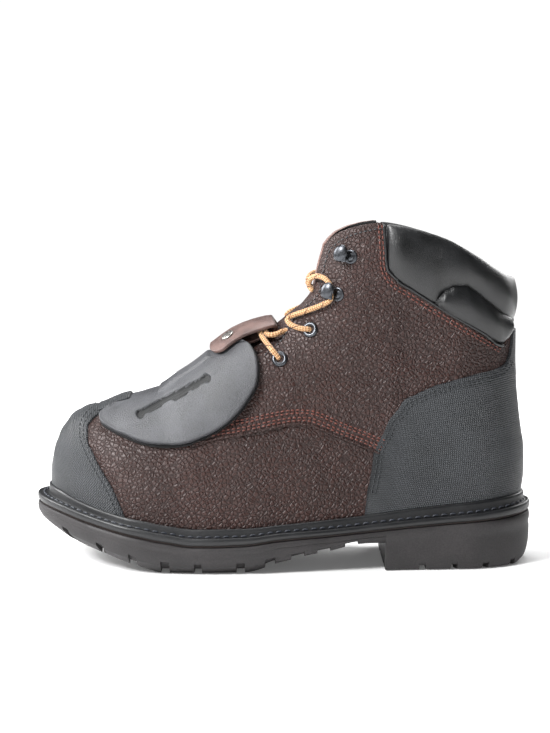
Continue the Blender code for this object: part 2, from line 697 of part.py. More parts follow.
def make_collar():
    """Padded collar and the roll over the heel tendon."""
    padding = material("collar_padding", (0.03, 0.032, 0.035), 0.4)
    padded_band("collar", COLLAR, COLLAR_FRONT_X, COLLAR_PUFF, padding)
    padded_band("collar_roll", ROLL, ROLL_FRONT_X, ROLL_PUFF, padding)


# The guard's rear end on the crest, the stands of its plate and of its pad, and the reach of its slots.
GUARD_REAR_ROW = 10.6
PLATE_STAND = 3.4
PAD_STAND = 0.8
PAD_SHRINK = 0.08
SLOT_REACH = (6.0, 60.0)


def guard_grid(distance, shrink=0.0):
    """Points of the guard over the crest at an offset from the upper's face."""
    edge = locate(resample(GUARD_EDGE, 16))
    crest = np.linspace(locate([GUARD_NOSE])[0, 0], GUARD_REAR_ROW, len(edge))
    lines = []
    for side, steps in ((OUTER, np.linspace(1, 0, 6)), (INNER, np.linspace(0, 1, 6)[1:])):
        for v in steps * (1 - shrink):
            r = crest + (edge[:, 0] - crest) * v
            lines.append(offset(r, edge[:, 1] * v, side, np.full(r.shape, distance)))
    return np.array(lines).transpose(1, 0, 2)


def make_guard():
    """Metatarsal guard plate with its two slots, on its soft backing."""
    polymer = material("guard_polymer", (0.12, 0.12, 0.125), 0.45)
    plate = shell("guard_plate", guard_grid(PLATE_STAND + GUARD_THICK), guard_grid(PLATE_STAND), polymer)
    for side, label in SIDES:
        ends = sorted(side * reach for reach in SLOT_REACH)
        subtract(plate, side_prism(f"slot_cut_{label}", SLOT, *ends))
    foam = material("guard_foam", (0.02, 0.02, 0.02), 0.9)
    shell("guard_pad", guard_grid(PAD_STAND + PAD_THICK, PAD_SHRINK), guard_grid(PAD_STAND, PAD_SHRINK), foam)


# The strap's loop along the crest: section number, and the stands of its outer and inner face.
STRAP = table(
    "outer stand inner gap",
    (11.1, 0.2, 11.1, 2.0), (11.5, -1.4, 11.5, 0.4), (11.85, -2.6, 11.85, -0.8), (12.1, -3.0, 12.05, -1.2),
    (12.26, -2.4, 12.14, -0.9), (12.36, -0.8, 12.19, -0.2), (12.36, 1.2, 12.19, 0.8),
    (12.24, 3.2, 12.12, 1.9), (12.05, 4.8, 11.97, 3.1), (11.8, 6.4, 11.75, 4.6), (11.5, 7.9, 11.47, 6.1),
    (11.15, 9.3, 11.12, 7.5), (10.8, 10.1, 10.79, 8.3), (10.4, 10.3, 10.4, 8.5), (10.1, 10.3, 10.1, 8.5),
)
STRAP_HALF = 15.0


def strap_grid(r, distance):
    """One face of the strap across the crest."""
    lines = []
    for y in np.linspace(-STRAP_HALF, STRAP_HALF, 7):
        side = OUTER if y < 0 else INNER
        lines.append(offset(r, edge_parameter(r, np.full(r.shape, abs(y))), side, distance))
    return np.array(lines).transpose(1, 0, 2)


def make_strap():
    """Leather tab that folds over the lace and carries the guard."""
    leather = material("strap_leather", (0.10, 0.065, 0.05), 0.5)
    outside = strap_grid(STRAP["outer"], STRAP["stand"])
    shell("guard_strap", outside, strap_grid(STRAP["inner"], STRAP["gap"]), leather)


def frame_on(x, z, side, distance):
    """A place on the boot's side at a side view point: its point, and forward, upward and outward axes."""
    r, t = locate([(x, z)])[0]
    out = normal(r, t, side)
    up = np.array((0.0, 0.0, 1.0)) - out * out[2]
    up /= np.linalg.norm(up)
    return surface(r, t, side) + out * distance, np.cross(up, out) * -side, up, out


def turned(name, place, profile, surface_material, segments=12):
    """A ring or disc turned about its place's outward axis from a closed profile of (radius, height)."""
    centre, forward, up, out = place
    points, faces = [], []
    for k in range(segments):
        angle = 2 * math.pi * k / segments
        direction = forward * math.cos(angle) + up * math.sin(angle)
        points.extend(centre + direction * radius + out * height for radius, height in profile)
    n = len(profile)
    for k in range(segments):
        for i in range(n):
            j, m = (i + 1) % n, (k + 1) % segments
            if profile[i][0] == profile[j][0] == 0:
                continue
            faces.append((k * n + i, k * n + j, m * n + j, m * n + i))
    return solid(name, points, faces, surface_material)


EYELET_RING = ((2.1, 0.0), (5.0, 0.0), (4.4, 0.9), (2.6, 0.9))
HOOK_PROFILE = (
    (-4.6, 0.0), (4.0, 0.0), (6.2, 0.8), (7.4, 2.4), (7.4, 4.2), (6.2, 5.7), (4.2, 6.3), (-1.6, 5.7),
    (-1.6, 4.6), (4.0, 5.1), (5.3, 4.6), (6.2, 3.8), (6.2, 2.7), (5.4, 1.7), (3.8, 1.1), (-4.6, 1.1),
)
HOOK_WIDTH = 6.4
EYELET_PLACES = ((-1.9, 129.2), (17.1, 147.3))
HOOK_PLACES = ((33.6, 169.6), (41.4, 192.6))


def make_eyelets_and_hooks():
    """Two eyelets and two speed hooks on each side."""
    steel = material("gunmetal_steel", (0.25, 0.25, 0.26), 0.3, 1.0)
    for side, label in SIDES:
        for i, (x, z) in enumerate(EYELET_PLACES, 1):
            turned(f"eyelet_{label}_{i}", frame_on(x, z, side, 0.5), EYELET_RING, steel)
        for i, (x, z) in enumerate(HOOK_PLACES, 1):
            centre, forward, up, out = frame_on(x, z, side, 0.5)
            n = len(HOOK_PROFILE)
            points = [centre - forward * s + out * h + up * w
                      for w in (-HOOK_WIDTH / 2, HOOK_WIDTH / 2) for s, h in HOOK_PROFILE]
            faces = [tuple(range(n - 1, -1, -1)), tuple(range(n, 2 * n))]
            faces += [(k, (k + 1) % n, (k + 1) % n + n, k + n) for k in range(n)]
            solid(f"hook_{label}_{i}", points, faces, steel)


# The rivet's section number, half width from the crest and stand.
RIVET_PLACE = (10.72, 8.5, 10.5)
RIVET_PROFILE = ((0.0, 0.0), (4.0, 0.0), (3.6, 0.8), (2.4, 1.3), (0.0, 1.5))


def make_rivet():
    """Rivet through the strap and the guard."""
    r, y, stand = RIVET_PLACE
    t = float(edge_parameter(r, y))
    out = normal(r, t, OUTER)
    centre = offset(r, t, OUTER, stand)
    forward = np.cross((0.0, 1.0, 0.0), out)
    forward /= np.linalg.norm(forward)
    place = (centre, forward, np.cross(out, forward), out)
    steel = material("rivet_steel", (0.5, 0.5, 0.52), 0.3, 1.0)
    turned("guard_rivet", place, RIVET_PROFILE, steel)


# Lace routes beside the strap's fold: x, distance from the middle plane and z.
LOWER_BAR = ((-6.4, 28.6, 134.8), (-9.4, 24.6, 138.2))
UPPER_BAR = ((1.2, 18.2, 146.2), (-3.4, 19.8, 144.4), (-7.4, 20.2, 143.6))
FOLD_PLACES = ((11.74, 2.2), (11.93, 1.2))
# A free end as side view points with their stand: from the upper eyelet to the lower hook, and on from it.
LACE_TO_HOOK = (
    (10.6, 149.8, 3.4), (6.0, 151.4, 4.0), (3.0, 154.2, 4.2), (3.6, 158.2, 4.4), (8.0, 161.0, 4.2),
    (14.0, 162.4, 4.0), (20.0, 162.4, 3.8), (25.4, 162.0, 3.6),
)
LACE_FROM_HOOK = (
    (31.0, 177.6, 4.4), (28.0, 180.4, 4.6), (24.0, 180.0, 4.4), (20.8, 177.0, 4.0), (19.4, 173.6, 3.4),
)
HOOK_BEND = (3.5, 3.0)
HOOK_STRAND = (-5.0, 0.0, 5.0)
# Distances from the middle plane of the points of a crossing inside the fold.
FOLD_ACROSS = (-17.0, -13.0, -8.0, -3.0, 3.0, 8.0, 13.0, 17.0)


def on_side(route, side):
    """Points of a lace route on one side of the boot."""
    route = np.asarray(route, float)
    spots = locate(route[:, :2])
    return offset(spots[:, 0], spots[:, 1], side, route[:, 2])


def through_hook(side):
    """Points of a lace as it passes up through the bend of the lower hook."""
    centre, forward, up, out = frame_on(*HOOK_PLACES[0], side, 0.5)
    reach, height = HOOK_BEND
    return np.array([centre - forward * reach + out * height + up * w for w in HOOK_STRAND])


def bar_points(route, r, stand):
    """Points of a crossing from the outer side through the strap's fold to the inner side."""
    route = np.asarray(route, float)
    fold = [offset(r, edge_parameter(r, abs(y)), OUTER if y < 0 else INNER, stand)
            for y in FOLD_ACROSS]
    return np.concatenate([route * (1, OUTER, 1), fold, route[::-1] * (1, INNER, 1)])


def tube(name, points, diameter, surface_material):
    """A round cord along a route, as a closed curve object."""
    run = resample(points, max(8, int(np.linalg.norm(np.diff(points, axis=0), axis=1).sum() / 6.5)))
    curve = bpy.data.curves.new(name, "CURVE")
    curve.dimensions = "3D"
    curve.bevel_depth = diameter / 2 * MM
    curve.bevel_resolution = 2
    curve.use_fill_caps = True
    curve.render_resolution_u = 0
    spline = curve.splines.new("POLY")
    spline.points.add(len(run) - 1)
    for point, place in zip(spline.points, run * MM):
        point.co = (*place, 1.0)
    curve.materials.append(surface_material)
    piece = bpy.data.objects.new(name, curve)
    bpy.context.scene.collection.objects.link(piece)
    return piece


def closed_copy(name, cord):
    """A cord's tube as one closed mesh object."""
    evaluated = cord.evaluated_get(bpy.context.evaluated_depsgraph_get())
    mesh = bpy.data.meshes.new_from_object(evaluated)
    build = bmesh.new()
    build.from_mesh(mesh)
    bmesh.ops.remove_doubles(build, verts=build.verts, dist=1e-6)
    bmesh.ops.recalc_face_normals(build, faces=build.faces)
    build.to_mesh(mesh)
    build.free()
    piece = bpy.data.objects.new(name, mesh)
    bpy.context.scene.collection.objects.link(piece)
    return piece


def make_laces():
    """The lace between the facings, through the strap's fold, and its two free ends."""
    cord = material("lace_cord", (0.55, 0.33, 0.16), 0.9)
    bars = []
    for name, route, place in zip(("lower_bar", "upper_bar"), (LOWER_BAR, UPPER_BAR), FOLD_PLACES):
        bars.append(tube(name, bar_points(route, *place), LACE_DIAMETER, cord))
    for side, label in SIDES:
        route = [on_side(LACE_TO_HOOK, side), through_hook(side), on_side(LACE_FROM_HOOK, side)]
        tube(f"lace_end_{label}", np.concatenate(route), LACE_DIAMETER, cord)
    crossings = closed_copy("lace_crossings", bars[0])
    second = closed_copy("second_bar", bars[1])
    join = crossings.modifiers.new("join_bars", "BOOLEAN")
    join.operation = "UNION"
    join.object = second
    for guide in (second, *bars):
        guide.hide_render = True
        guide.display_type = "WIRE"


def main():
    """Make every piece."""
    clear_scene()
    make_outsole()
    make_welt()
    make_insole()
    make_upper()
    make_toe_cap()
    make_heel_counter()
    make_tongue()
    make_collar()
    make_guard()
    make_strap()
    make_rivet()
    make_eyelets_and_hooks()
    make_laces()


main()
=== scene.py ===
"""Looks of the metatarsal guard boot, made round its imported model.

All sizes in the tables are millimetres; meshes are made in metres. +X runs to the heel, +Z is up and
-Y is the outer side of the foot, which faces the camera. The origin is on the floor under the sole.
"""
import math

import bmesh
import bpy
import numpy as np
from bpy.props import FloatProperty, FloatVectorProperty, PointerProperty
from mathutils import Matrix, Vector
from mathutils.bvhtree import BVHTree


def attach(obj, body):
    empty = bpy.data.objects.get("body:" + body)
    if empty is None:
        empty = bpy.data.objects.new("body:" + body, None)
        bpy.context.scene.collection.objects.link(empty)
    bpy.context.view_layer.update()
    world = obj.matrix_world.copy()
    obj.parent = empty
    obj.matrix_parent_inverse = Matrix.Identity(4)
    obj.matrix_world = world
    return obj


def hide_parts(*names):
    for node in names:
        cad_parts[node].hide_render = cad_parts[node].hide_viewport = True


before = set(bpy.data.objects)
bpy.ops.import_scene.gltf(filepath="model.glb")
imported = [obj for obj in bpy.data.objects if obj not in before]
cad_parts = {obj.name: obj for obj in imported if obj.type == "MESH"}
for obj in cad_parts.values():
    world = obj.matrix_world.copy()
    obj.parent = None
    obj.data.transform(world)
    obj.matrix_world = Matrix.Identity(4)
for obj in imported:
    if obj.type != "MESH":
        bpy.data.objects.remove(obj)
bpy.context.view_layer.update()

bl_info = {
    "name": "Metatarsal guard boot",
    "version": (1, 0, 0),
    "blender": (4, 5, 0),
    "location": "View3D > Sidebar > Boot",
    "description": "Leather work boot with a toe cap, a heel counter and a guard over the instep",
    "category": "Object",
}

MM = 0.001
BODY = "root"
OUTER, INNER = -1.0, 1.0
SIDES = ((OUTER, "outer"), (INNER, "inner"))

SOLE_LENGTH = 313.0
TOE_X = -SOLE_LENGTH / 2
HEEL_X = SOLE_LENGTH / 2
TOE_ROUND = 74.0
UPPER_TOE_ROUND = 65.0
HEEL_ROUND = 46.0
WALL = 2.4
BEAD_HEIGHT = 4.0
UPPER_LIFT = 0.4


def table(names, *rows):
    """A short table as a dictionary of columns, so that a section is one row."""
    return {name: np.array(column, float) for name, column in zip(names.split(), zip(*rows))}


def smooth(xs, ys, x):
    """Cubic curve through the points whose slopes never overshoot them."""
    x = np.clip(np.asarray(x, float), xs[0], xs[-1])
    step = np.diff(xs)
    slope = np.diff(ys) / step
    product = slope[:-1] * slope[1:]
    total = np.where(product > 0, slope[:-1] + slope[1:], 1.0)
    middle = np.where(product > 0, 2 * product / total, 0.0)
    tangent = np.concatenate(([slope[0]], middle, [slope[-1]]))
    i = np.clip(np.searchsorted(xs, x, side="right") - 1, 0, len(xs) - 2)
    t = (x - xs[i]) / step[i]
    a = ys[i] + t * step[i] * tangent[i]
    b = ys[i + 1] - (1 - t) * step[i] * tangent[i + 1]
    near = t * t * (3 - 2 * t)
    return a * (1 - near) + b * near


def rounding(s, power=2.0):
    """0 at an edge and 1 one radius inside it, along a superellipse."""
    s = np.clip(s, 0.0, 1.0)
    return (1 - (1 - s) ** power) ** (1 / power)


def ease(s):
    """0 to 1 with level ends."""
    s = np.clip(s, 0.0, 1.0)
    return s * s * (3 - 2 * s)


# The plan of the welt: half width and centre line, and how far the upper stands inside the rim.
PLAN = table(
    "x half centre ledge",
    (TOE_X, 54.0, 8.0, 10.4),
    (-120.0, 56.0, 6.0, 9.8),
    (-92.0, 57.5, 1.2, 8.8),
    (-60.0, 58.0, 0.0, 8.2),
    (-30.0, 55.5, -2.0, 8.0),
    (0.0, 50.5, -4.2, 7.6),
    (30.0, 45.5, -4.6, 7.2),
    (60.0, 42.0, -3.6, 7.0),
    (95.0, 40.4, -2.0, 6.8),
    (120.0, 39.6, -1.2, 6.8),
    (HEEL_X, 38.6, -0.6, 6.8),
)

# Heights along the sole: lower edge of its side, tread face, groove, rim of the welt and top of the bead.
SOLE = table(
    "x edge tread groove rim bead",
    (TOE_X, 29.0, 26.5, 36.6, 42.4, 49.6),
    (-141.0, 23.6, 20.0, 33.8, 39.6, 46.0),
    (-124.0, 18.0, 14.0, 29.5, 35.4, 40.4),
    (-104.0, 12.2, 8.4, 25.3, 31.0, 35.6),
    (-86.0, 7.8, 3.2, 21.8, 27.8, 32.4),
    (-70.0, 5.1, 0.0, 18.9, 25.0, 29.4),
    (-50.0, 4.0, 0.0, 16.8, 22.8, 27.6),
    (-28.0, 4.5, 0.0, 17.2, 23.0, 27.8),
    (-4.0, 8.0, 5.4, 19.8, 25.2, 29.6),
    (28.0, 13.4, 12.0, 22.0, 27.0, 32.2),
    (57.6, 17.4, 16.8, 24.4, 29.6, 35.2),
    (90.0, 17.4, 16.8, 27.2, 32.6, 39.2),
    (121.0, 17.4, 16.8, 29.4, 35.2, 42.0),
    (HEEL_X, 17.4, 16.8, 31.8, 38.8, 44.6),
)
BREAST_TOP_X = 57.6
BREAST_FOOT_X = 62.9
HEEL_EDGE = table("x edge", (BREAST_FOOT_X, 0.5), (142.0, 0.5), (149.7, 2.7), (HEEL_X, 10.5))

# The back of the boot, as the leather runs up behind the heel.
BACK = table(
    "z x",
    (36.0, 149.4), (44.0, 149.7), (58.0, 151.0), (70.0, 150.9), (82.0, 149.4),
    (98.0, 147.4), (117.0, 145.8), (134.0, 145.2), (150.0, 145.2), (190.0, 145.6),
)
HEEL_SEAT_X = 149.5
BACK_ROUND = 43.0

# Sections of the upper. Each runs from a top point (tx, tz) to a bottom point b, which is measured along
# the feather line to HEEL_SEAT_X and then on up the back. full is the half width over that of the feather,
# round the radius of the top in the section, crest its centre line, and open the half width of the throat.
UPPER = table(
    "tx tz b full round crest open",
    (-146.2, 47.5, -146.0, 1.0, 4.0, 8.0, 0.0),
    (-146.0, 56.0, -145.0, 1.0, 14.0, 8.0, 0.0),
    (-144.6, 66.0, -142.6, 1.0, 24.0, 8.0, 0.0),
    (-141.6, 76.0, -138.8, 1.0, 36.0, 8.0, 0.0),
    (-136.2, 85.6, -133.0, 1.0, 48.0, 7.5, 0.0),
    (-128.0, 93.2, -125.0, 1.01, 56.0, 7.0, 0.0),
    (-117.0, 96.6, -113.0, 1.01, 60.0, 6.0, 0.0),
    (-102.0, 97.6, -97.0, 1.01, 64.0, 5.0, 0.0),
    (-82.0, 101.6, -75.0, 1.01, 70.0, 4.0, 0.0),
    (-62.0, 112.6, -50.0, 1.01, 76.0, 3.0, 0.0),
    (-42.0, 127.0, -20.0, 1.02, 80.0, 2.0, 0.0),
    (-26.0, 139.0, 12.0, 1.03, 80.0, 1.0, 23.0),
    (-11.0, 149.4, 45.0, 1.04, 74.0, 0.0, 24.0),
    (1.4, 159.0, 78.0, 1.05, 64.0, 0.0, 20.0),
    (11.0, 167.4, 108.0, 1.08, 56.0, -0.5, 18.0),
    (15.6, 175.5, 132.0, 1.11, 54.0, -1.0, 18.0),
    (18.0, 184.5, 146.0, 1.13, 52.0, -1.0, 18.0),
    (20.2, 193.0, 162.0, 1.14, 50.0, -1.0, 18.0),
    (22.4, 201.5, 186.0, 1.14, 50.0, -1.0, 18.0),
    (24.4, 210.5, 214.0, 1.16, 50.0, -1.0, 18.0),
    (27.0, 220.0, 252.0, 1.18, 50.0, -1.0, 18.0),
    (32.0, 234.0, 306.0, 1.20, 50.0, -1.0, 18.0),
)
LAST_ROW = len(UPPER["tx"]) - 1
TOE_POWER = 2.2

# Side view lines (x, z), read from the front of the boot to its back.
FACING_TOP = ((27.6, 197.4), (32.4, 202.6), (40.0, 207.2), (48.0, 210.0), (56.0, 211.8), (62.0, 212.6))
COLLAR_SEAM = (
    (62.6, 212.6), (63.7, 196.3), (64.8, 184.2), (67.6, 179.8), (78.6, 172.4),
    (90.6, 164.7), (106.7, 154.8), (123.4, 145.1), (136.5, 137.0), (139.6, 140.0), (142.4, 147.5),
    (144.0, 150.2), (156.0, 150.6),
)

# Heights of the collar's lower and upper edge, and of the roll's, from the front to the back.
COLLAR = table(
    "x low high",
    (65.6, 184.4, 212.4), (68.6, 180.6, 212.0), (75.4, 175.9, 210.7), (86.8, 168.6, 207.7),
    (91.5, 166.2, 206.4), (96.6, 171.4, 204.6), (101.2, 174.6, 202.8), (106.4, 176.3, 200.2),
    (110.8, 176.3, 197.8), (114.6, 174.5, 195.6), (123.1, 168.2, 190.4), (132.1, 161.4, 184.6),
    (139.0, 156.4, 180.8), (146.0, 154.2, 178.4),
)
ROLL = table(
    "x low high",
    (92.4, 164.0, 165.2), (96.6, 161.6, 170.0), (101.2, 158.8, 173.2), (106.4, 155.6, 174.9),
    (110.8, 153.0, 174.9), (114.6, 151.0, 173.1), (123.1, 146.2, 166.8), (130.0, 142.4, 161.4),
    (134.5, 140.6, 158.2), (138.0, 142.0, 155.8), (141.0, 149.0, 154.2), (143.0, 151.4, 153.4),
    (146.0, 151.6, 153.2),
)
COLLAR_FRONT_X = 65.6
ROLL_FRONT_X = 92.4
CAP_EDGE = (
    (-95.4, 33.0), (-102.9, 49.9), (-110.3, 61.3), (-117.9, 73.1), (-121.4, 81.1), (-121.6, 85.5),
    (-119.6, 89.6), (-116.2, 92.4), (-111.6, 94.4), (-106.6, 96.0), (-102.6, 97.2), (-100.4, 97.9),
)
COUNTER_EDGE = (
    (50.0, 35.0), (51.6, 47.6), (54.5, 62.1), (56.3, 74.5), (61.2, 84.4), (64.9, 92.9), (70.9, 99.9),
    (74.6, 105.2), (80.1, 107.7), (87.4, 111.4), (97.8, 115.2), (103.4, 116.7), (119.7, 120.9),
    (134.7, 124.3), (139.4, 129.6), (141.4, 137.0), (143.6, 146.8),
)
GUARD_EDGE = (
    (-100.6, 96.6), (-104.8, 95.2), (-109.6, 93.2), (-113.6, 90.8), (-112.6, 87.8), (-107.8, 85.0),
    (-96.9, 80.7), (-84.4, 77.2), (-72.6, 76.4), (-61.1, 77.4), (-49.5, 81.5), (-37.9, 87.5),
    (-26.4, 97.7), (-20.3, 105.8), (-16.0, 113.1), (-14.6, 120.8), (-15.4, 129.7), (-19.0, 135.6),
    (-28.0, 133.5),
)
GUARD_NOSE = (-97.4, 98.4)
FACING_FRONT = (
    (-13.0, 132.0), (-6.2, 141.4), (4.3, 155.6), (14.8, 163.9), (19.8, 169.0), (22.8, 181.2), (25.0, 190.9),
)
QUARTER_EDGE = (
    (-50.7, 79.8), (-39.7, 82.1), (-25.1, 84.6), (-13.5, 86.9), (-2.6, 89.2), (8.4, 90.6), (15.8, 90.2),
    (23.2, 87.6), (34.2, 82.5), (45.3, 78.2), (53.0, 74.9),
)


def ledge(x):
    """How far the upper stands inside the rim of the welt."""
    return smooth(PLAN["x"], PLAN["ledge"], x)


def groove(x):
    """Height of the groove between the outsole and the welt."""
    return smooth(SOLE["x"], SOLE["groove"], x)


def rim(x):
    """Height of the welt's rim."""
    return smooth(SOLE["x"], SOLE["rim"], x)


def bead(x):
    """Height of the bead's top."""
    return smooth(SOLE["x"], SOLE["bead"], x)


def seat(x):
    """Height of the face that the upper and the insole stand on."""
    return bead(x) - BEAD_HEIGHT


def back_x(z):
    """The leather's place behind the heel at a height."""
    return smooth(BACK["z"], BACK["x"], z)


def bottom_point(b):
    """Side view point a distance b along the feather line, and beyond the heel seat up the back."""
    z_heel = seat(HEEL_SEAT_X) + UPPER_LIFT
    rise = np.maximum(b - HEEL_SEAT_X, 0.0)
    z = np.where(rise > 0, z_heel + rise, seat(np.minimum(b, HEEL_SEAT_X)) + UPPER_LIFT)
    x = np.where(rise > 0, back_x(z_heel + rise), np.minimum(b, back_x(z)))
    return x, z


def row(name, r):
    """A column of the upper's sections at a section number r that need not be whole."""
    numbers = np.arange(LAST_ROW + 1)
    return smooth(numbers, UPPER[name], r)


def closing(r):
    """0 where a section ends at the feather line and 1 where it closes behind the heel."""
    near = np.clip((row("b", r) - 105.0) / (HEEL_SEAT_X - 105.0), 0.0, 1.0)
    return near * near * (3 - 2 * near)


def share(r, t):
    """The part a of the way down a section at parameter t, close together where the section is round."""
    arc = math.pi * (1 + closing(r)) / 2
    return (1 - np.cos(arc * t)) / (1 - np.cos(arc))


def parameter(r, a):
    """The parameter t at a part a of the way down."""
    arc = math.pi * (1 + closing(r)) / 2
    return np.arccos(np.clip(1 - a * (1 - np.cos(arc)), -1, 1)) / arc


def surface(r, t, side):
    """Outer face of the upper: a point as an array whose last axis is x, y, z."""
    r, t = np.broadcast_arrays(np.asarray(r, float), np.asarray(t, float))
    a = share(r, t)
    b = row("b", r)
    tx, tz = row("tx", r), row("tz", r)
    bx, bz = bottom_point(b)
    x, z = tx + a * (bx - tx), tz + a * (bz - tz)
    foot = np.minimum(b, HEEL_SEAT_X)
    toe = rounding((foot - (TOE_X + ledge(TOE_X))) / UPPER_TOE_ROUND)
    feather = (smooth(PLAN["x"], PLAN["half"], foot) - ledge(foot)) * toe
    half = feather * (a * a + row("full", r) * (1 - a * a))
    length = np.hypot(bx - tx, bz - tz)
    half = half * rounding(a * length / row("round", r), TOE_POWER)
    half = half * rounding((back_x(z) - x) / BACK_ROUND)
    centre = smooth(PLAN["x"], PLAN["centre"], foot) * a * a + row("crest", r) * (1 - a * a)
    return np.stack([x, centre + side * half, z], -1)


def normal(r, t, side):
    """Outward direction of the upper's face."""
    step = 0.01
    r, t = np.broadcast_arrays(np.asarray(r, float), np.asarray(t, float))
    inside = np.clip(r, step, LAST_ROW - step)
    t_in = np.clip(t, step, 1 - step)
    along = surface(inside + step, t_in, side) - surface(inside - step, t_in, side)
    round_it = surface(inside, t_in + step, side) - surface(inside, t_in - step, side)
    out = np.cross(along, round_it) * side
    middle = (t < 2 * step) | ((t > 1 - 2 * step) & (closing(r) > 0.999))
    out[..., 1] = np.where(middle, 0.0, out[..., 1])
    return out / np.linalg.norm(out, axis=-1, keepdims=True)


def offset(r, t, side, distance):
    """The upper's face moved out by a distance."""
    return surface(r, t, side) + normal(r, t, side) * np.asarray(distance, float)[..., None]


def locate(points):
    """Section number and parameter of side view points: where a section's line passes through the point."""
    points = np.asarray(points, float)
    r = np.linspace(0, LAST_ROW, 40 * LAST_ROW + 1)
    tx, tz = row("tx", r), row("tz", r)
    bx, bz = bottom_point(row("b", r))
    dx, dz = bx - tx, bz - tz
    found = []
    for first in range(0, len(points), 1500):
        x, z = points[first:first + 1500, :1], points[first:first + 1500, 1:2]
        across = dx * (z - tz) - dz * (x - tx)
        a = ((x - tx) * dx + (z - tz) * dz) / (dx ** 2 + dz ** 2)
        change = (np.sign(across[:, :-1]) != np.sign(across[:, 1:])) & (a[:, :-1] > -0.3) & (a[:, :-1] < 1.3)
        some = change.any(1)
        i = np.minimum(np.where(some, change.argmax(1), np.abs(across).argmin(1)), len(r) - 2)
        k = np.arange(len(i))
        near, far = across[k, i], across[k, i + 1]
        part = np.where(some, near / np.where(near == far, 1.0, near - far), 0.0)
        here = r[i] + part * (r[i + 1] - r[i])
        down = np.clip(a[k, i] + part * (a[k, i + 1] - a[k, i]), 0, 1)
        found.append(np.stack([here, parameter(here, down)], -1))
    return np.concatenate(found)


def resample(points, count):
    """Points evenly spaced along a smooth curve through a short list."""
    points = np.asarray(points, float)
    run = np.concatenate(([0], np.cumsum(np.linalg.norm(np.diff(points, axis=0), axis=1))))
    fine = np.linspace(0, run[-1], 40 * len(points))
    dense = np.stack([smooth(run, points[:, k], fine) for k in range(points.shape[1])], -1)
    walk = np.concatenate(([0], np.cumsum(np.linalg.norm(np.diff(dense, axis=0), axis=1))))
    even = np.linspace(0, walk[-1], count)
    return np.stack([np.interp(even, walk, dense[:, k]) for k in range(points.shape[1])], -1)


def linear(code):
    """Linear red, green and blue of an sRGB hex colour; a colour that is linear already stays as it is."""
    if not isinstance(code, str):
        return tuple(code)
    parts = [int(code[i:i + 2], 16) / 255 for i in (1, 3, 5)]
    return tuple(p / 12.92 if p <= 0.04045 else ((p + 0.055) / 1.055) ** 2.4 for p in parts)


def scaled(colour, share):
    """A linear colour made darker or lighter."""
    return tuple(min(1.0, c * share) for c in colour)


def unit(vectors):
    """Vectors scaled to length one."""
    return vectors / np.maximum(np.linalg.norm(vectors, axis=-1, keepdims=True), 1e-9)


def grid_faces(rows, columns, loop=False):
    """Quads of a grid of points, its columns joined into a loop if asked."""
    i = np.arange(rows - 1)[:, None]
    j = np.arange(columns if loop else columns - 1)[None, :]
    k = (j + 1) % columns
    quads = np.stack([i * columns + j, (i + 1) * columns + j, (i + 1) * columns + k, i * columns + k], -1)
    return quads.reshape(-1, 4)


def grid_normals(grid, loop=False):
    """Outward directions of a grid of points, from the differences between its neighbours."""
    along = np.gradient(grid, axis=0)
    if loop:
        across = np.roll(grid, -1, axis=1) - np.roll(grid, 1, axis=1)
    else:
        across = np.gradient(grid, axis=1)
    return unit(np.cross(along, across))


def piece(name, parts, surface, node=(), indices=None, uv=None, weld=0.004, outward=True, angle=50.0):
    """One piece of the boot from a list of (points in millimetres, quads), welded, smooth and facing out."""
    points, faces, base = [], [], 0
    for part_points, part_faces in parts:
        points.append(part_points.reshape(-1, 3))
        faces.append(part_faces + base)
        base += points[-1].shape[0]
    points = np.concatenate(points) * MM
    faces = np.concatenate(faces)
    mesh = bpy.data.meshes.new(name)
    mesh.vertices.add(len(points))
    mesh.vertices.foreach_set("co", points.ravel())
    mesh.loops.add(faces.size)
    mesh.loops.foreach_set("vertex_index", faces.ravel())
    mesh.polygons.add(len(faces))
    mesh.polygons.foreach_set("loop_start", np.arange(len(faces)) * 4)
    if indices is not None:
        mesh.polygons.foreach_set("material_index", np.concatenate(indices))
    mesh.update(calc_edges=True)
    if uv is not None:
        layer = mesh.uv_layers.new(name="UVMap")
        flat = np.concatenate([u.reshape(-1, 2) for u in uv])
        layer.data.foreach_set("uv", flat[faces.ravel()].ravel())
    build = bmesh.new()
    build.from_mesh(mesh)
    bmesh.ops.remove_doubles(build, verts=build.verts, dist=weld * MM)
    bmesh.ops.dissolve_degenerate(build, edges=build.edges, dist=weld * MM * 0.5)
    if outward:
        bmesh.ops.recalc_face_normals(build, faces=build.faces)
    build.to_mesh(mesh)
    build.free()
    mesh.shade_smooth()
    mesh.set_sharp_from_angle(angle=math.radians(angle))
    made = bpy.data.objects.new(name, mesh)
    bpy.context.scene.collection.objects.link(made)
    for item in surface if isinstance(surface, (list, tuple)) else [surface]:
        mesh.materials.append(item)
    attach(made, BODY)
    if node:
        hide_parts(*([node] if isinstance(node, str) else node))
    return made


def border(grid):
    """The grid's outer line of points, once round."""
    return np.concatenate([grid[0], grid[1:, -1], grid[-1, -2::-1], grid[-2:0:-1, 0]])


def away_from(points, line):
    """Distance of each point from a line of points."""
    flat = points.reshape(-1, points.shape[-1])
    start, step = line[:-1], np.diff(line, axis=0)
    size = np.maximum((step ** 2).sum(-1), 1e-9)
    best = np.full(len(flat), 1e9)
    for first in range(0, len(flat), 2000):
        here = flat[first:first + 2000, None, :] - start[None]
        along = np.clip((here * step[None]).sum(-1) / size[None], 0, 1)
        gap = here - along[..., None] * step[None]
        best[first:first + 2000] = np.sqrt((gap ** 2).sum(-1)).min(1)
    return best.reshape(points.shape[:-1])


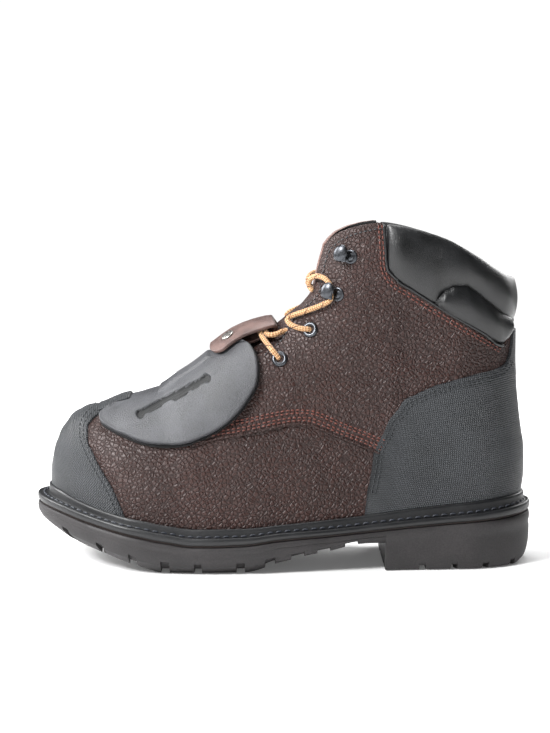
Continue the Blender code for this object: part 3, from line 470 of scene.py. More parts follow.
def spaced(length, pitch, fine=(0.0, 0.12, 0.3, 0.55, 0.9, 1.4), both=True):
    """Places from 0 to 1 along a length, close together near its ends, which are rounded."""
    near = np.array(fine) / length
    count = max(3, int(round((length - 2 * fine[-1]) / pitch)))
    if both:
        middle = np.linspace(near[-1], 1 - near[-1], count)
        return np.concatenate([near[:-1], middle, 1 - near[:-1][::-1]])
    return np.concatenate([near[:-1], np.linspace(near[-1], 1.0, count)])


def plate_parts(base, out, height, depth):
    """A solid on a grid of points: its top stands off by height, its underside lies depth under them.

    Top = base + out * height, underside = base - out * depth, and a strip joins them along the border.
    """
    rows, columns = base.shape[:2]
    top = base + out * height[..., None]
    under = base - out * depth
    faces = grid_faces(rows, columns)
    rim = np.stack([np.concatenate([border(top), border(top)[:1]]),
                    np.concatenate([border(under), border(under)[:1]])])
    return [(top, faces), (under, faces[:, ::-1]), (rim, grid_faces(2, rim.shape[1]))]


def skin(r, u):
    """The upper's outer face over both sides: u runs from -1 at the outer sole to 1 at the inner sole."""
    side = np.where(u < 0, OUTER, INNER)
    return surface(r, np.abs(u), side)


def skin_normal(r, u):
    """Outward direction of the upper's face, from small steps in the two parameters."""
    step = 0.004
    r, u = np.broadcast_arrays(np.asarray(r, float), np.asarray(u, float))
    inside = np.clip(r, step, LAST_ROW - step)
    along = skin(inside + step, u) - skin(inside - step, u)
    low, high = np.clip(u - step, -1, 1), np.clip(u + step, -1, 1)
    round_it = skin(inside, high) - skin(inside, low)
    return unit(np.cross(along, round_it))


def edge_parameter(r, half, power=TOE_POWER):
    """Parameter where a section is a given half width from its centre line, near its top."""
    b = np.minimum(row("b", r), HEEL_SEAT_X)
    wide = (smooth(PLAN["x"], PLAN["half"], b) - ledge(b)) * row("full", r)
    part = 1 - (1 - np.clip(half / wide, 0, 1) ** power) ** (1 / power)
    bx, bz = bottom_point(row("b", r))
    length = np.hypot(bx - row("tx", r), bz - row("tz", r))
    return parameter(r, part * row("round", r) / length)


def above_bead(r, rise):
    """Parameter where a section passes over the welt's bead; 1 where it closes behind the heel."""
    bx, bz = bottom_point(row("b", r))
    drop = np.maximum(row("tz", r) - bz, 1e-3)
    top = 1 - np.clip((bead(bx) + rise - bz) / drop, 0.0, 0.97)
    return parameter(r, top)


def on_side(route, side):
    """Points of a route of (x, z, stand) on one side of the boot."""
    route = np.asarray(route, float)
    spots = locate(route[:, :2])
    return offset(spots[:, 0], spots[:, 1], side, route[:, 2])


def frame_on(x, z, side, distance):
    """A place on the boot's side at a side view point: its point, and forward, upward and outward axes."""
    r, t = locate([(x, z)])[0]
    out = normal(r, t, side)
    up = np.array((0.0, 0.0, 1.0)) - out * out[2]
    up /= np.linalg.norm(up)
    return surface(r, t, side) + out * distance, np.cross(up, out) * -side, up, out


def shifted(line, distance):
    """A side view line moved sideways, to the left of its run for a positive distance."""
    line = np.asarray(line, float)
    run = unit(np.gradient(line, axis=0))
    return line + np.stack([-run[:, 1], run[:, 0]], -1) * distance


def settle(points, tree):
    """Points moved to the nearest place on a surface, with its outward directions."""
    found = [tree.find_nearest(Vector(p * MM))[:2] for p in points]
    return np.array([f[0] for f in found]) / MM, np.array([f[1] for f in found])


def tree_of(made):
    """A search tree over a piece's finished surface."""
    return BVHTree.FromObject(made, bpy.context.evaluated_depsgraph_get())


def stitch_parts(line, out, pitch, length, radius, sink=0.35):
    """Stitches along a line: each is a short round thread whose ends dip into the surface.

    A thread is a tube of 6 sides and 7 rings: along = length * s, height = radius * (1 - (2 s - 1)^4) - sink.
    """
    run = np.concatenate(([0], np.cumsum(np.linalg.norm(np.diff(line, axis=0), axis=1))))
    count = int(run[-1] / pitch)
    if count < 1:
        return []
    middle = (np.arange(count) + 0.5) * run[-1] / count
    s = np.linspace(-0.5, 0.5, 7)
    places = middle[:, None] + s[None, :] * length
    centre = np.stack([np.interp(places, run, line[:, k]) for k in range(3)], -1)
    up = unit(np.stack([np.interp(places, run, out[:, k]) for k in range(3)], -1))
    ahead = unit(centre[:, -1:] - centre[:, :1]) * np.ones_like(centre)
    aside = unit(np.cross(ahead, up))
    thick = radius * np.sqrt(np.clip(1.05 - (2 * s) ** 4, 0.04, 1))
    height = radius * (0.75 - 1.6 * (2 * s) ** 4) - sink * radius
    angle = np.arange(6) * math.pi / 3
    round_it = (up[:, :, None] * np.sin(angle)[None, None, :, None]
                + aside[:, :, None] * np.cos(angle)[None, None, :, None])
    raised = up[:, :, None] * height[None, :, None, None]
    points = centre[:, :, None] + raised + round_it * thick[None, :, None, None]
    faces = grid_faces(7, 6, loop=True)
    caps = np.array([(0, 1, 2, 3), (0, 3, 4, 5), (39, 38, 37, 36), (41, 40, 39, 36)])
    one = np.concatenate([faces, caps])
    all_faces = one[None] + (np.arange(count) * 42)[:, None, None]
    return [(points, all_faces.reshape(-1, 4))]


def cord_frame(line):
    """Directions along a line and two across it that turn with it as little as they can."""
    ahead = unit(np.gradient(line, axis=0))
    first = np.cross(ahead[0], (0.0, 0.3, 1.0))
    aside = [first / np.linalg.norm(first)]
    for t in ahead[1:]:
        a = aside[-1] - t * np.dot(aside[-1], t)
        aside.append(a / np.linalg.norm(a))
    aside = np.array(aside)
    return ahead, aside, np.cross(ahead, aside)


def even(points, pitch):
    """Points evenly spaced along a smooth curve, a pitch apart."""
    points = np.asarray(points, float)
    run = np.concatenate(([0], np.cumsum(np.linalg.norm(np.diff(points, axis=0), axis=1))))
    tangent = np.gradient(points, run, axis=0)
    fine = np.linspace(0, run[-1], 60 * len(points))
    i = np.clip(np.searchsorted(run, fine, side="right") - 1, 0, len(run) - 2)
    h = run[i + 1] - run[i]
    s = ((fine - run[i]) / h)[:, None]
    h = h[:, None]
    dense = ((2 * s ** 3 - 3 * s ** 2 + 1) * points[i] + (s ** 3 - 2 * s ** 2 + s) * h * tangent[i]
             + (3 * s ** 2 - 2 * s ** 3) * points[i + 1] + (s ** 3 - s ** 2) * h * tangent[i + 1])
    walk = np.concatenate(([0], np.cumsum(np.linalg.norm(np.diff(dense, axis=0), axis=1))))
    count = max(4, int(round(walk[-1] / pitch)) + 1)
    places = np.linspace(0, walk[-1], count)
    return np.stack([np.interp(places, walk, dense[:, k]) for k in range(dense.shape[1])], -1)


def braid_parts(line, diameter, sides=20, twist=0.9, strands=8, relief=0.06):
    """A round braided cord along a line.

    Its radius is R * (1 + relief * sin(n a + w s) * sin(n a - w s)), two families of strands that cross.
    """
    run = np.concatenate(([0], np.cumsum(np.linalg.norm(np.diff(line, axis=0), axis=1))))[:, None]
    _, aside, up = cord_frame(line)
    angle = np.arange(sides) * 2 * math.pi / sides
    half = strands / 2 * angle[None, :]
    wave = np.sin(half + run * twist * 2) * np.sin(half - run * twist * 2)
    radius = diameter / 2 * (1 + relief * (wave * 2 - 0.3))
    close = rounding(np.minimum(run, run[-1] - run) / 0.8 + 0.02)
    radius = radius * close
    points = (line[:, None] + radius[..., None] * (aside[:, None] * np.cos(angle)[None, :, None]
                                                   + up[:, None] * np.sin(angle)[None, :, None]))
    across = np.stack(np.broadcast_arrays(angle[None, :] / (2 * math.pi), run / (math.pi * diameter)), -1)
    caps = np.concatenate([np.repeat(points[:1, :1], sides, 1), points, np.repeat(points[-1:, :1], sides, 1)])
    turn = np.concatenate([across[:1], across, across[-1:]])
    return [(caps, grid_faces(len(caps), sides, loop=True))], turn


def put(tree, kind, settings=None, **inputs):
    """Add a node with its settings; an input is a value or the socket it is linked from, i0 for the first."""
    made = tree.nodes.new(kind)
    for key, value in (settings or {}).items():
        setattr(made, key, value)
    for key, value in inputs.items():
        place = int(key[1:]) if key[1:].isdigit() else key.replace("_", " ")
        if isinstance(value, bpy.types.NodeSocket):
            tree.links.new(value, made.inputs[place])
        else:
            made.inputs[place].default_value = value
    return made


def started(name, **values):
    """A new material's tree and shader, with the values that are the same all over it."""
    made = bpy.data.materials.new(name)
    made.use_nodes = True
    tree = made.node_tree
    shader = tree.nodes["Principled BSDF"]
    for key, value in values.items():
        shader.inputs[key.replace("_", " ")].default_value = value
    return made, tree, shader


def calc(tree, operation, first, second=0.5, third=0.5):
    """One step of arithmetic."""
    return put(tree, "ShaderNodeMath", {"operation": operation}, i0=first, i1=second, i2=third).outputs[0]


def blended(tree, part, first, second):
    """A colour from the first to the second hex colour."""
    mix = put(tree, "ShaderNodeMix", {"data_type": "RGBA"}, i0=part, i6=(*linear(first), 1),
              i7=(*linear(second), 1))
    return mix.outputs[2]


def stepped(tree, value, low, high, to_low=0.0, to_high=1.0):
    """A value carried from one range to another with level ends."""
    return put(tree, "ShaderNodeMapRange", {"interpolation_type": "SMOOTHSTEP"},
               Value=value, From_Min=low, From_Max=high, To_Min=to_low, To_Max=to_high).outputs[0]


def bumped(tree, shader, height, depth, strength=1.0):
    """Relief of a real depth in metres on the shader."""
    bump = put(tree, "ShaderNodeBump", None, Strength=strength, Distance=depth, Height=height)
    tree.links.new(bump.outputs[0], shader.inputs["Normal"])


def place_of(tree):
    """Object coordinates in metres."""
    return put(tree, "ShaderNodeTexCoord").outputs["Object"]


def grain(tree, where, size, feature="DISTANCE_TO_EDGE"):
    """Cells of a size in metres."""
    return put(tree, "ShaderNodeTexVoronoi", {"feature": feature}, Vector=where,
               Scale=1 / size).outputs["Distance"]


def cloud(tree, where, size, detail=2.0):
    """Soft noise of a size in metres."""
    return put(tree, "ShaderNodeTexNoise", None, Vector=where, Scale=1 / size, Detail=detail).outputs["Fac"]


def pebbled_leather(name, colour, pebble, depth=0.00068):
    """Drum-tumbled full-grain cowhide: full pebbles with narrow creases, lightly waxed on their tops, with
    painted shade darkening the creases.
    """
    made, tree, shader = started(name, IOR=1.46, Coat_Weight=0.03, Coat_Roughness=0.4)
    where = place_of(tree)
    drift = put(tree, "ShaderNodeTexNoise", None, Vector=where, Scale=260.0, Detail=2.0).outputs["Color"]
    bent = put(tree, "ShaderNodeMixRGB", {"blend_type": "LINEAR_LIGHT"}, i0=0.0006, i1=where,
               i2=drift).outputs[0]
    large = stepped(tree, grain(tree, bent, pebble), -0.04, 0.26)
    small = stepped(tree, grain(tree, bent, pebble * 0.52), 0.0, 0.4)
    swell = cloud(tree, where, pebble * 2.2, 2.0)
    fine = cloud(tree, where, 0.0004, 3.0)
    patchy = cloud(tree, where, 0.03, 3.0)
    mixed = calc(tree, "MULTIPLY_ADD", small, 0.12, calc(tree, "MULTIPLY", large, 0.74))
    lifted = calc(tree, "MULTIPLY_ADD", swell, 0.9, mixed)
    height = calc(tree, "MULTIPLY_ADD", fine, 0.03, lifted)
    bumped(tree, shader, height, depth)
    body = blended(tree, stepped(tree, patchy, 0.34, 0.68), colour, scaled(colour, 1.35))
    # Painted shade: the creases between the pebbles are darkened to half the leather's colour, and the same
    # mask makes them rougher.
    crease_shade_mask = stepped(tree, mixed, 0.0, 0.5)
    dark = (*scaled(colour, 0.5), 1)
    mix = put(tree, "ShaderNodeMix", {"data_type": "RGBA"}, i0=crease_shade_mask, i6=dark, i7=body)
    tree.links.new(mix.outputs[2], shader.inputs["Base Color"])
    tree.links.new(stepped(tree, crease_shade_mask, 0.0, 1.0, 0.75, 0.45), shader.inputs["Roughness"])
    return made


def fine_leather(name, colour, light, size=0.0009, depth=0.00006, roughness=0.36):
    """Smooth finished leather with a fine pore grain and a semi-gloss top coat."""
    made, tree, shader = started(name, IOR=1.5, Coat_Weight=0.25, Coat_Roughness=0.3)
    where = place_of(tree)
    pores = stepped(tree, grain(tree, where, size), 0.0, 0.28)
    soft = cloud(tree, where, 0.011, 3.0)
    bumped(tree, shader, calc(tree, "MULTIPLY_ADD", soft, 0.8, pores), depth)
    tree.links.new(blended(tree, stepped(tree, soft, 0.3, 0.72), colour, light), shader.inputs["Base Color"])
    tree.links.new(stepped(tree, soft, 0.25, 0.75, roughness - 0.05, roughness + 0.09),
                   shader.inputs["Roughness"])
    return made


def hatched_coating(name, dark, light, pitch=0.0019, depth=0.0006):
    """Thermoplastic abrasion coating pressed with fine crossing diagonal ribs, satin black."""
    made, tree, shader = started(name, IOR=1.48, Coat_Weight=0.06, Coat_Roughness=0.4)
    spot = put(tree, "ShaderNodeSeparateXYZ", None, i0=put(tree, "ShaderNodeUVMap").outputs[0])
    turn = 2 * math.pi / pitch
    plus = calc(tree, "ADD", spot.outputs[0], spot.outputs[1])
    minus = calc(tree, "SUBTRACT", spot.outputs[0], spot.outputs[1])
    one = calc(tree, "SINE", calc(tree, "MULTIPLY", plus, turn * 0.7071))
    two = calc(tree, "SINE", calc(tree, "MULTIPLY", minus, turn * 0.7071))
    ribs = stepped(tree, calc(tree, "MULTIPLY", one, two), -0.7, 0.7)
    where = place_of(tree)
    speck = cloud(tree, where, 0.0005, 2.0)
    wear = cloud(tree, where, 0.02, 4.0)
    bumped(tree, shader, calc(tree, "MULTIPLY_ADD", speck, 0.15, ribs), depth)
    tone = calc(tree, "MULTIPLY_ADD", wear, 0.6, calc(tree, "MULTIPLY", ribs, 0.55))
    tree.links.new(blended(tree, stepped(tree, tone, 0.2, 0.9), dark, light), shader.inputs["Base Color"])
    tree.links.new(stepped(tree, wear, 0.3, 0.7, 0.44, 0.56), shader.inputs["Roughness"])
    return made


def moulded(name, dark, light, roughness, size=0.0007, depth=0.00005, coat=0.0):
    """Moulded rubber or polymer with a fine spark-eroded texture and a little dust in its hollows."""
    made, tree, shader = started(name, IOR=1.5, Coat_Weight=coat, Coat_Roughness=0.35)
    where = place_of(tree)
    speck = cloud(tree, where, size, 3.0)
    dust = cloud(tree, where, 0.017, 5.0)
    bumped(tree, shader, speck, depth)
    tone = calc(tree, "MULTIPLY_ADD", speck, 0.5, calc(tree, "MULTIPLY", dust, 0.6))
    tree.links.new(blended(tree, stepped(tree, tone, 0.35, 0.8), dark, light), shader.inputs["Base Color"])
    tree.links.new(stepped(tree, dust, 0.3, 0.7, roughness - 0.05, roughness + 0.07),
                   shader.inputs["Roughness"])
    return made


def woven(name, dark, light, pitch=0.0016, depth=0.00025):
    """Knitted polyester lining: small open cells and a soft sheen."""
    made, tree, shader = started(name, Roughness=0.92, Sheen_Weight=0.25, Sheen_Roughness=0.5)
    where = place_of(tree)
    cells = stepped(tree, grain(tree, where, pitch, "F1"), 0.1, 0.6)
    bumped(tree, shader, cells, depth)
    tree.links.new(blended(tree, cells, light, dark), shader.inputs["Base Color"])
    return made


def raw_suede(name, dark, light):
    """Cut edge and flesh side of the hide: fibrous, dull and paler than the grain."""
    made, tree, shader = started(name, Roughness=0.95, Sheen_Weight=0.35, Sheen_Roughness=0.6)
    where = place_of(tree)
    fibre = cloud(tree, where, 0.0006, 5.0)
    bumped(tree, shader, fibre, 0.0003)
    tree.links.new(blended(tree, stepped(tree, fibre, 0.35, 0.68), dark, light), shader.inputs["Base Color"])
    return made


def bonded_thread(name, colour):
    """Bonded nylon thread: twisted plies with a waxy shine."""
    made, tree, shader = started(name, Roughness=0.5, Coat_Weight=0.2, Coat_Roughness=0.4)
    where = place_of(tree)
    ply = cloud(tree, where, 0.00035, 2.0)
    bumped(tree, shader, ply, 0.0001)
    made_colour = blended(tree, stepped(tree, ply, 0.35, 0.65), scaled(colour, 0.6), scaled(colour, 1.5))
    tree.links.new(made_colour, shader.inputs["Base Color"])
    return made


def braided_cord(name, tan, pale, fleck):
    """Round braided polyester lace: tan plies with a thin brown tracer that crosses them."""
    made, tree, shader = started(name, Roughness=0.72, Sheen_Weight=0.3, Sheen_Roughness=0.4)
    spot = put(tree, "ShaderNodeSeparateXYZ", None, i0=put(tree, "ShaderNodeUVMap").outputs[0])
    turn = 2 * math.pi
    rising = calc(tree, "MULTIPLY_ADD", spot.outputs[0], 4.0, calc(tree, "MULTIPLY", spot.outputs[1], 3.2))
    falling = calc(tree, "MULTIPLY_ADD", spot.outputs[0], 4.0, calc(tree, "MULTIPLY", spot.outputs[1], -3.2))
    one = calc(tree, "SINE", calc(tree, "MULTIPLY", rising, turn))
    two = calc(tree, "SINE", calc(tree, "MULTIPLY", falling, turn))
    plies = stepped(tree, calc(tree, "MULTIPLY", one, two), -0.8, 0.8)
    tracer = calc(tree, "SINE", calc(tree, "MULTIPLY_ADD", spot.outputs[0], turn,
                                     calc(tree, "MULTIPLY", spot.outputs[1], turn * 0.8)))
    mark = calc(tree, "MULTIPLY", stepped(tree, tracer, 0.82, 0.96), stepped(tree, one, -0.2, 0.4))
    body = blended(tree, plies, tan, pale)
    colour = put(tree, "ShaderNodeMix", {"data_type": "RGBA"}, i0=mark, i6=body, i7=(*linear(fleck), 1))
    tree.links.new(colour.outputs[2], shader.inputs["Base Color"])
    bumped(tree, shader, plies, 0.00022)
    return made


def plated_metal(name, colour, roughness):
    """Stamped steel with a plated finish, lightly brushed by wear."""
    made, tree, shader = started(name, Metallic=1.0)
    shader.inputs["Base Color"].default_value = (*linear(colour), 1)
    wear = cloud(tree, place_of(tree), 0.0016, 4.0)
    tree.links.new(stepped(tree, wear, 0.3, 0.7, roughness - 0.07, roughness + 0.1),
                   shader.inputs["Roughness"])
    bumped(tree, shader, wear, 0.000006)
    return made


class Finishes:
    """The boot's materials, made once."""

    made = {}

    @classmethod
    def get(cls, name):
        """A finish by its name."""
        if name not in cls.made:
            cls.made[name] = FINISHES[name]()
        return cls.made[name]


FINISHES = {
    "leather": lambda: pebbled_leather("pebbled_cowhide", chosen().leather_colour, chosen().pebble_size),
    "lining": lambda: woven("knitted_lining", "#141414", "#2C2C2C"),
    "raw": lambda: raw_suede("split_leather_edge", "#4A2F29", "#8A6A60"),
    "coating": lambda: hatched_coating("abrasion_coating", "#17191B", "#3C3F43"),
    "collar": lambda: fine_leather("padded_collar_leather", "#0A0B0C", "#121315"),
    "guard": lambda: moulded("guard_polymer", "#333437", "#4C4D51", 0.44, 0.0007, 0.0005),
    # Near-black: the guard's backing pad, partly its own colour and partly painted shade under the guard's
    # edge, and the eyelets' bore floors, which are painted shade.
    "foam": lambda: moulded("foam_backing", "#08080A", "#121214", 0.85, 0.0008, 0.0002),
    "strap": lambda: fine_leather("strap_leather", "#46322E", "#67504A", 0.0008, 0.00012, 0.5),
    "rubber": lambda: moulded("outsole_rubber", "#1F1D1E", "#322F30", 0.6, 0.0009, 0.00007),
    "welt": lambda: moulded("welt_rubber", "#0C0D0F", "#18191C", 0.42, 0.0009, 0.00006, 0.08),
    "groove": lambda: moulded("midsole_edge", "#170F0D", "#241814", 0.7),
    "welt_thread": lambda: bonded_thread("welt_thread", linear("#282C35")),
    "red_thread": lambda: bonded_thread("russet_thread", chosen().thread_colour),
    "black_thread": lambda: bonded_thread("black_thread", linear("#24272A")),
    "cord": lambda: braided_cord("braided_lace", chosen().lace_colour, "#D6AE80", "#43230F"),
    "gunmetal": lambda: plated_metal("gunmetal_plate", "#4E5054", 0.33),
    # Darker than the guard's polymer: painted shade on the floors of the guard's slots.
    "slot": lambda: moulded("slot_floor_shade", "#121314", "#232425", 0.7, 0.0006, 0.0002),
    "steel": lambda: plated_metal("nickel_plate", "#A9A6A2", 0.34),
    "footbed": lambda: woven("footbed_cover", "#1A1B1C", "#333537", 0.0012, 0.0002),
}


def throat_part(r):
    """Parameter of the throat's edge, 0 where the section is closed over the crest."""
    half = row("open", r)
    return np.where(half > 1e-6, edge_parameter(r, half), 0.0)


def rows_apart(first, last, pitch):
    """Section numbers whose lines are about a pitch apart at their wider end."""
    r = np.linspace(first, last, 800)
    bx, bz = bottom_point(row("b", r))
    low = np.hypot(np.gradient(bx), np.gradient(bz))
    high = np.hypot(np.gradient(row("tx", r)), np.gradient(row("tz", r)))
    run = np.cumsum(np.maximum(low, high))
    count = int(run[-1] / pitch)
    return np.interp(np.linspace(run[0], run[-1], count), run, r)


def crown_places(columns):
    """Section number and share of the way down at places along the crown, from the throat to the back."""
    line = np.concatenate([resample(FACING_TOP, 60), resample(COLLAR_SEAM, 240)[1:]])
    line = line[line[:, 0] < back_x(line[:, 1]) - 0.05]
    spots = locate(line)
    start = throat_part(spots[:, 0])
    part = (spots[:, 1] - start) / (1 - start)
    part = np.maximum.accumulate(np.clip((part - part[0]) / (1 - part[0]), 0, 1))
    run = np.concatenate(([0], np.cumsum(np.linalg.norm(np.diff(line, axis=0), axis=1))))
    places = np.linspace(0, run[-1], columns)
    part[-1] = 1.0
    return np.interp(places, run, spots[:, 0]), np.interp(places, run, part)


# Soft creases of the leather in the side view: two ends, half width and depth, on both sides.
CREASES = table(
    "x1 z1 x2 z2 width depth",
    (2.0, 96.0, 30.0, 118.0, 7.0, 0.9), (-24.0, 92.0, -6.0, 112.0, 6.0, 0.7),
    (40.0, 120.0, 78.0, 132.0, 9.0, 1.1), (44.0, 152.0, 66.0, 164.0, 8.0, 0.8),
    (-92.0, 60.0, -70.0, 66.0, 8.0, 0.6), (-60.0, 48.0, -34.0, 66.0, 9.0, 0.7),
    (64.0, 140.0, 96.0, 128.0, 7.0, 0.8),
)
QUARTER_LIFT = 1.1


def quarter_line(x):
    """Height of the quarter's lower edge in the side view, carried on under the guard and the counter."""
    edge = np.array([(-74.0, 77.0), *QUARTER_EDGE, (74.0, 66.0)])
    return smooth(edge[:, 0], edge[:, 1], x)


def leather_relief(points):
    """How far the leather stands off the last: the quarter over the vamp, and the creases.

    Relief = lift * ease(height over the quarter's edge) - sum of depth * exp(-(distance / width)^2).
    """
    x, z = points[..., 0], points[..., 2]
    inside = ease((x + 74.0) / 14.0) * ease((74.0 - x) / 8.0)
    relief = QUARTER_LIFT * ease((z - quarter_line(x)) / 0.9 + 0.5) * inside
    flat = points[..., (0, 2)]
    for k in range(len(CREASES["x1"])):
        a = np.array((CREASES["x1"][k], CREASES["z1"][k]))
        b = np.array((CREASES["x2"][k], CREASES["z2"][k]))
        gap = away_from(flat, np.stack([a, b]))
        relief = relief - CREASES["depth"][k] * np.exp(-(gap / CREASES["width"][k]) ** 2)
    return relief


def leather_grid(columns=84, pitch=1.6, shaft=52, last=16.5):
    """Section numbers and signed parameters of the upper, one grid for each side.

    Rows follow the sections up to the shaft, and then lines from there to the crown.
    """
    crown_r, crown_part = crown_places(columns)
    base = rows_apart(0.0, last, pitch)
    part = np.linspace(0, 1, columns)
    w = np.linspace(0, 1, shaft + 1)[1:, None]
    r = np.concatenate([np.repeat(base[:, None], columns, 1), last + (crown_r - last)[None] * w])
    shares = np.concatenate([np.repeat(part[None], len(base), 0), part + (crown_part - part)[None] * ease(w)])
    start = throat_part(r)
    return r, start + (1 - start) * shares


def make_upper():
    """The hollow leather upper: outer skin with its relief, and a wall turned in at every edge."""
    r, t = leather_grid()
    parts = []
    for side, _ in SIDES:
        skin_points = skin(r, t * side + (side < 0) * -1e-9)
        out = skin_normal(r, np.where(t < 1e-6, 0.0, t * side))
        moved = skin_points + out * leather_relief(skin_points)[..., None]
        faces = grid_faces(*r.shape)
        parts.append((moved, faces if side > 0 else faces[:, ::-1]))
    made = piece("upper_leather_shell", parts, [Finishes.get("leather"), Finishes.get("lining"),
                 Finishes.get("raw")], "upper", outward=False, weld=0.02)
    wall = made.modifiers.new("wall", "SOLIDIFY")
    wall.thickness = (WALL - 0.1) * MM
    wall.offset = -1
    wall.material_offset = 1
    wall.material_offset_rim = 2
    return made


def lengths(grid):
    """Arc lengths in metres along the columns and the rows of a grid, for a pattern that follows it."""
    across = np.linalg.norm(np.diff(grid, axis=1), axis=-1)
    down = np.linalg.norm(np.diff(grid, axis=0), axis=-1)
    u = np.concatenate([np.zeros((len(grid), 1)), np.cumsum(across, 1)], 1)
    u = u - u[:, u.shape[1] // 2][:, None]
    v = np.concatenate([np.zeros((1, grid.shape[1])), np.cumsum(down, 0)], 0)
    return np.stack([u, v], -1) * MM


def overlay(name, grid, out, edge, thick, surface, node, sink=0.5, radius=1.1):
    """A coated patch on the leather: height = thick * rounding(distance to edge / radius)."""
    height = thick * rounding(away_from(grid, edge) / radius)
    parts = plate_parts(grid, out, height, sink)
    uv = lengths(grid)
    rim = np.stack([np.concatenate([border(uv), border(uv)[:1]])] * 2)
    return piece(name, parts, surface, node, uv=[uv, uv, rim])


CAP_THICK = 1.5
COUNTER_THICK = 1.5


def make_toe_cap():
    """Black cap over the toe, from its rear edge down behind the bead."""
    edge = locate(resample(CAP_EDGE, 80))
    part = np.clip(edge[:, 1] / above_bead(edge[:, 0], 1.2), 0, 1)
    order = np.argsort(part)
    u = np.linspace(-1, 1, 171)
    last = np.interp(np.abs(u), part[order], edge[order, 0])
    v = (1 - spaced(75.0, 1.1, both=False))[::-1]
    r = 0.03 + (last - 0.03)[None, :] * v[:, None]
    t = above_bead(r, -2.2) * u[None, :]
    grid = skin(r, t)
    out = skin_normal(r, t)
    return overlay("toe_cap_shell", grid, out, grid[-1], CAP_THICK, Finishes.get("coating"),
                   "toe_cap")


def counter_grid(columns=110, rows=100):
    """Places of the counter: lines from the bead up to its top edge, once round the heel.

    The side view point = foot + (top - foot) * h, bent to the back of the boot for the rearmost lines.
    """
    top = resample([*COUNTER_EDGE[1:], (145.3, 146.9)], columns)
    s = np.linspace(0, 1, columns)
    foot_x = 50.0 + (149.4 - 50.0) * np.sin(s * math.pi / 2)
    foot = np.stack([foot_x, bead(foot_x) - 2.2], -1)
    h = (1 - spaced(80.0, 80.0 / rows, both=False))[::-1][:, None, None]
    side_points = foot[None] + (top - foot)[None] * h
    back = back_x(side_points[..., 1])
    bend = ease((s - 0.55) / 0.45)[None]
    line = side_points[..., 0]
    rear_line = line[:, -1:]
    x = np.minimum(line + (back - rear_line) * bend, back)
    spots = locate(np.stack([x, side_points[..., 1]], -1).reshape(-1, 2)).reshape(*x.shape, 2)
    spots[:, -1, 1] = 1.0
    return spots


def make_heel_counter():
    """Black counter round the heel, with the tab that runs up behind it."""
    spots = counter_grid()
    r = np.concatenate([spots[..., 0], spots[:, -2::-1, 0]], 1)
    t = np.concatenate([-spots[..., 1], spots[:, -2::-1, 1]], 1)
    grid = skin(r, t)
    out = grid_normals(grid)
    middle = spots.shape[1] - 1
    centre = grid.mean((0, 1))
    if (out[:, middle // 2] * (grid[:, middle // 2] - centre)).sum() < 0:
        out = -out
    edge = np.concatenate([grid[:, 0], grid[-1], grid[::-1, -1]])
    return overlay("heel_counter_shell", grid, out, edge, COUNTER_THICK, Finishes.get("coating"),
                   "heel_counter")


# Channels across the tread: place, width and depth.
CHANNELS = table(
    "x width depth",
    (-136.0, 4.0, 5.2), (-113.0, 4.5, 5.6), (-92.0, 5.0, 5.6), (-72.0, 5.0, 6.4), (-52.0, 4.5, 6.4),
    (-26.0, 5.0, 6.6), (-8.0, 6.0, 4.6), (9.0, 8.0, 3.8), (25.0, 8.0, 3.2), (42.0, 8.0, 2.8),
    (86.0, 4.0, 3.2), (106.0, 4.0, 3.2), (126.0, 4.0, 3.2), (144.0, 3.0, 4.6),
)


def sole_stations(pitch=1.3):
    """Places along the sole, with the walls of every channel and the heel breast among them."""
    ends = 1 - np.cos(np.linspace(0, math.pi / 2, 60))
    middle = np.arange(TOE_X + 62.0, HEEL_X - 44.0, pitch)
    walls = []
    for x, width in zip(CHANNELS["x"], CHANNELS["width"]):
        for side in (-1, 1):
            walls += [x + side * (width / 2 + 0.12), x + side * (width / 2 - 0.12),
                      x + side * (width / 2 - 0.7)]
    walls += [BREAST_TOP_X - 0.3, BREAST_TOP_X, BREAST_FOOT_X - 0.02, BREAST_FOOT_X, BREAST_FOOT_X + 0.4]
    return np.unique(np.concatenate([TOE_X + 62.0 * ends, middle, HEEL_X - 44.0 * ends, walls]).round(3))


def plan_ring(x, inset):
    """Outline moved in by a distance at each station: the places, and the two sides' y."""
    end = np.clip((np.abs(x) - 90.0) / (HEEL_X - 90.0), 0, 1)
    moved = x - inset * end * np.sign(x)
    half = smooth(PLAN["x"], PLAN["half"], x) - inset
    half = half * rounding((x - TOE_X) / TOE_ROUND) * rounding((HEEL_X - x) / HEEL_ROUND)
    centre = smooth(PLAN["x"], PLAN["centre"], x)
    return moved, centre - half, centre + half


def ringed_parts(x, rings, across=2, face=None):
    """A closed loop of points round the sole's section at each station.

    The loop runs down the outer side's rings, across between the last two, and up the inner side.
    """
    low, high = [], []
    for inset, height in rings:
        px, y0, y1 = plan_ring(x, np.broadcast_to(inset, x.shape))
        z = height(px)
        low.append(np.stack([px, y0, z], -1))
        high.append(np.stack([px, y1, z], -1))
    part = np.linspace(0, 1, across + 1)[1:-1][None, :, None]
    middle = low[-1][:, None] * (1 - part) + high[-1][:, None] * part
    if face is not None:
        middle[..., 2] = face(middle)
    loop = np.concatenate([np.stack(low, 1), middle, np.stack(high[::-1], 1)], 1)
    return loop, grid_faces(len(x), loop.shape[1], loop=True)


def channel_depth(x):
    """Depth of the channels across the tread: full depth between their walls."""
    depth = np.zeros_like(x)
    for place, width, deep in zip(CHANNELS["x"], CHANNELS["width"], CHANNELS["depth"]):
        inside = np.abs(x - place) < width / 2 - 0.05
        round_it = 0.6 * (1 - rounding((width / 2 - np.abs(x - place)) / 0.7))
        depth = np.where(inside, np.maximum(deep - round_it, depth), depth)
    return depth


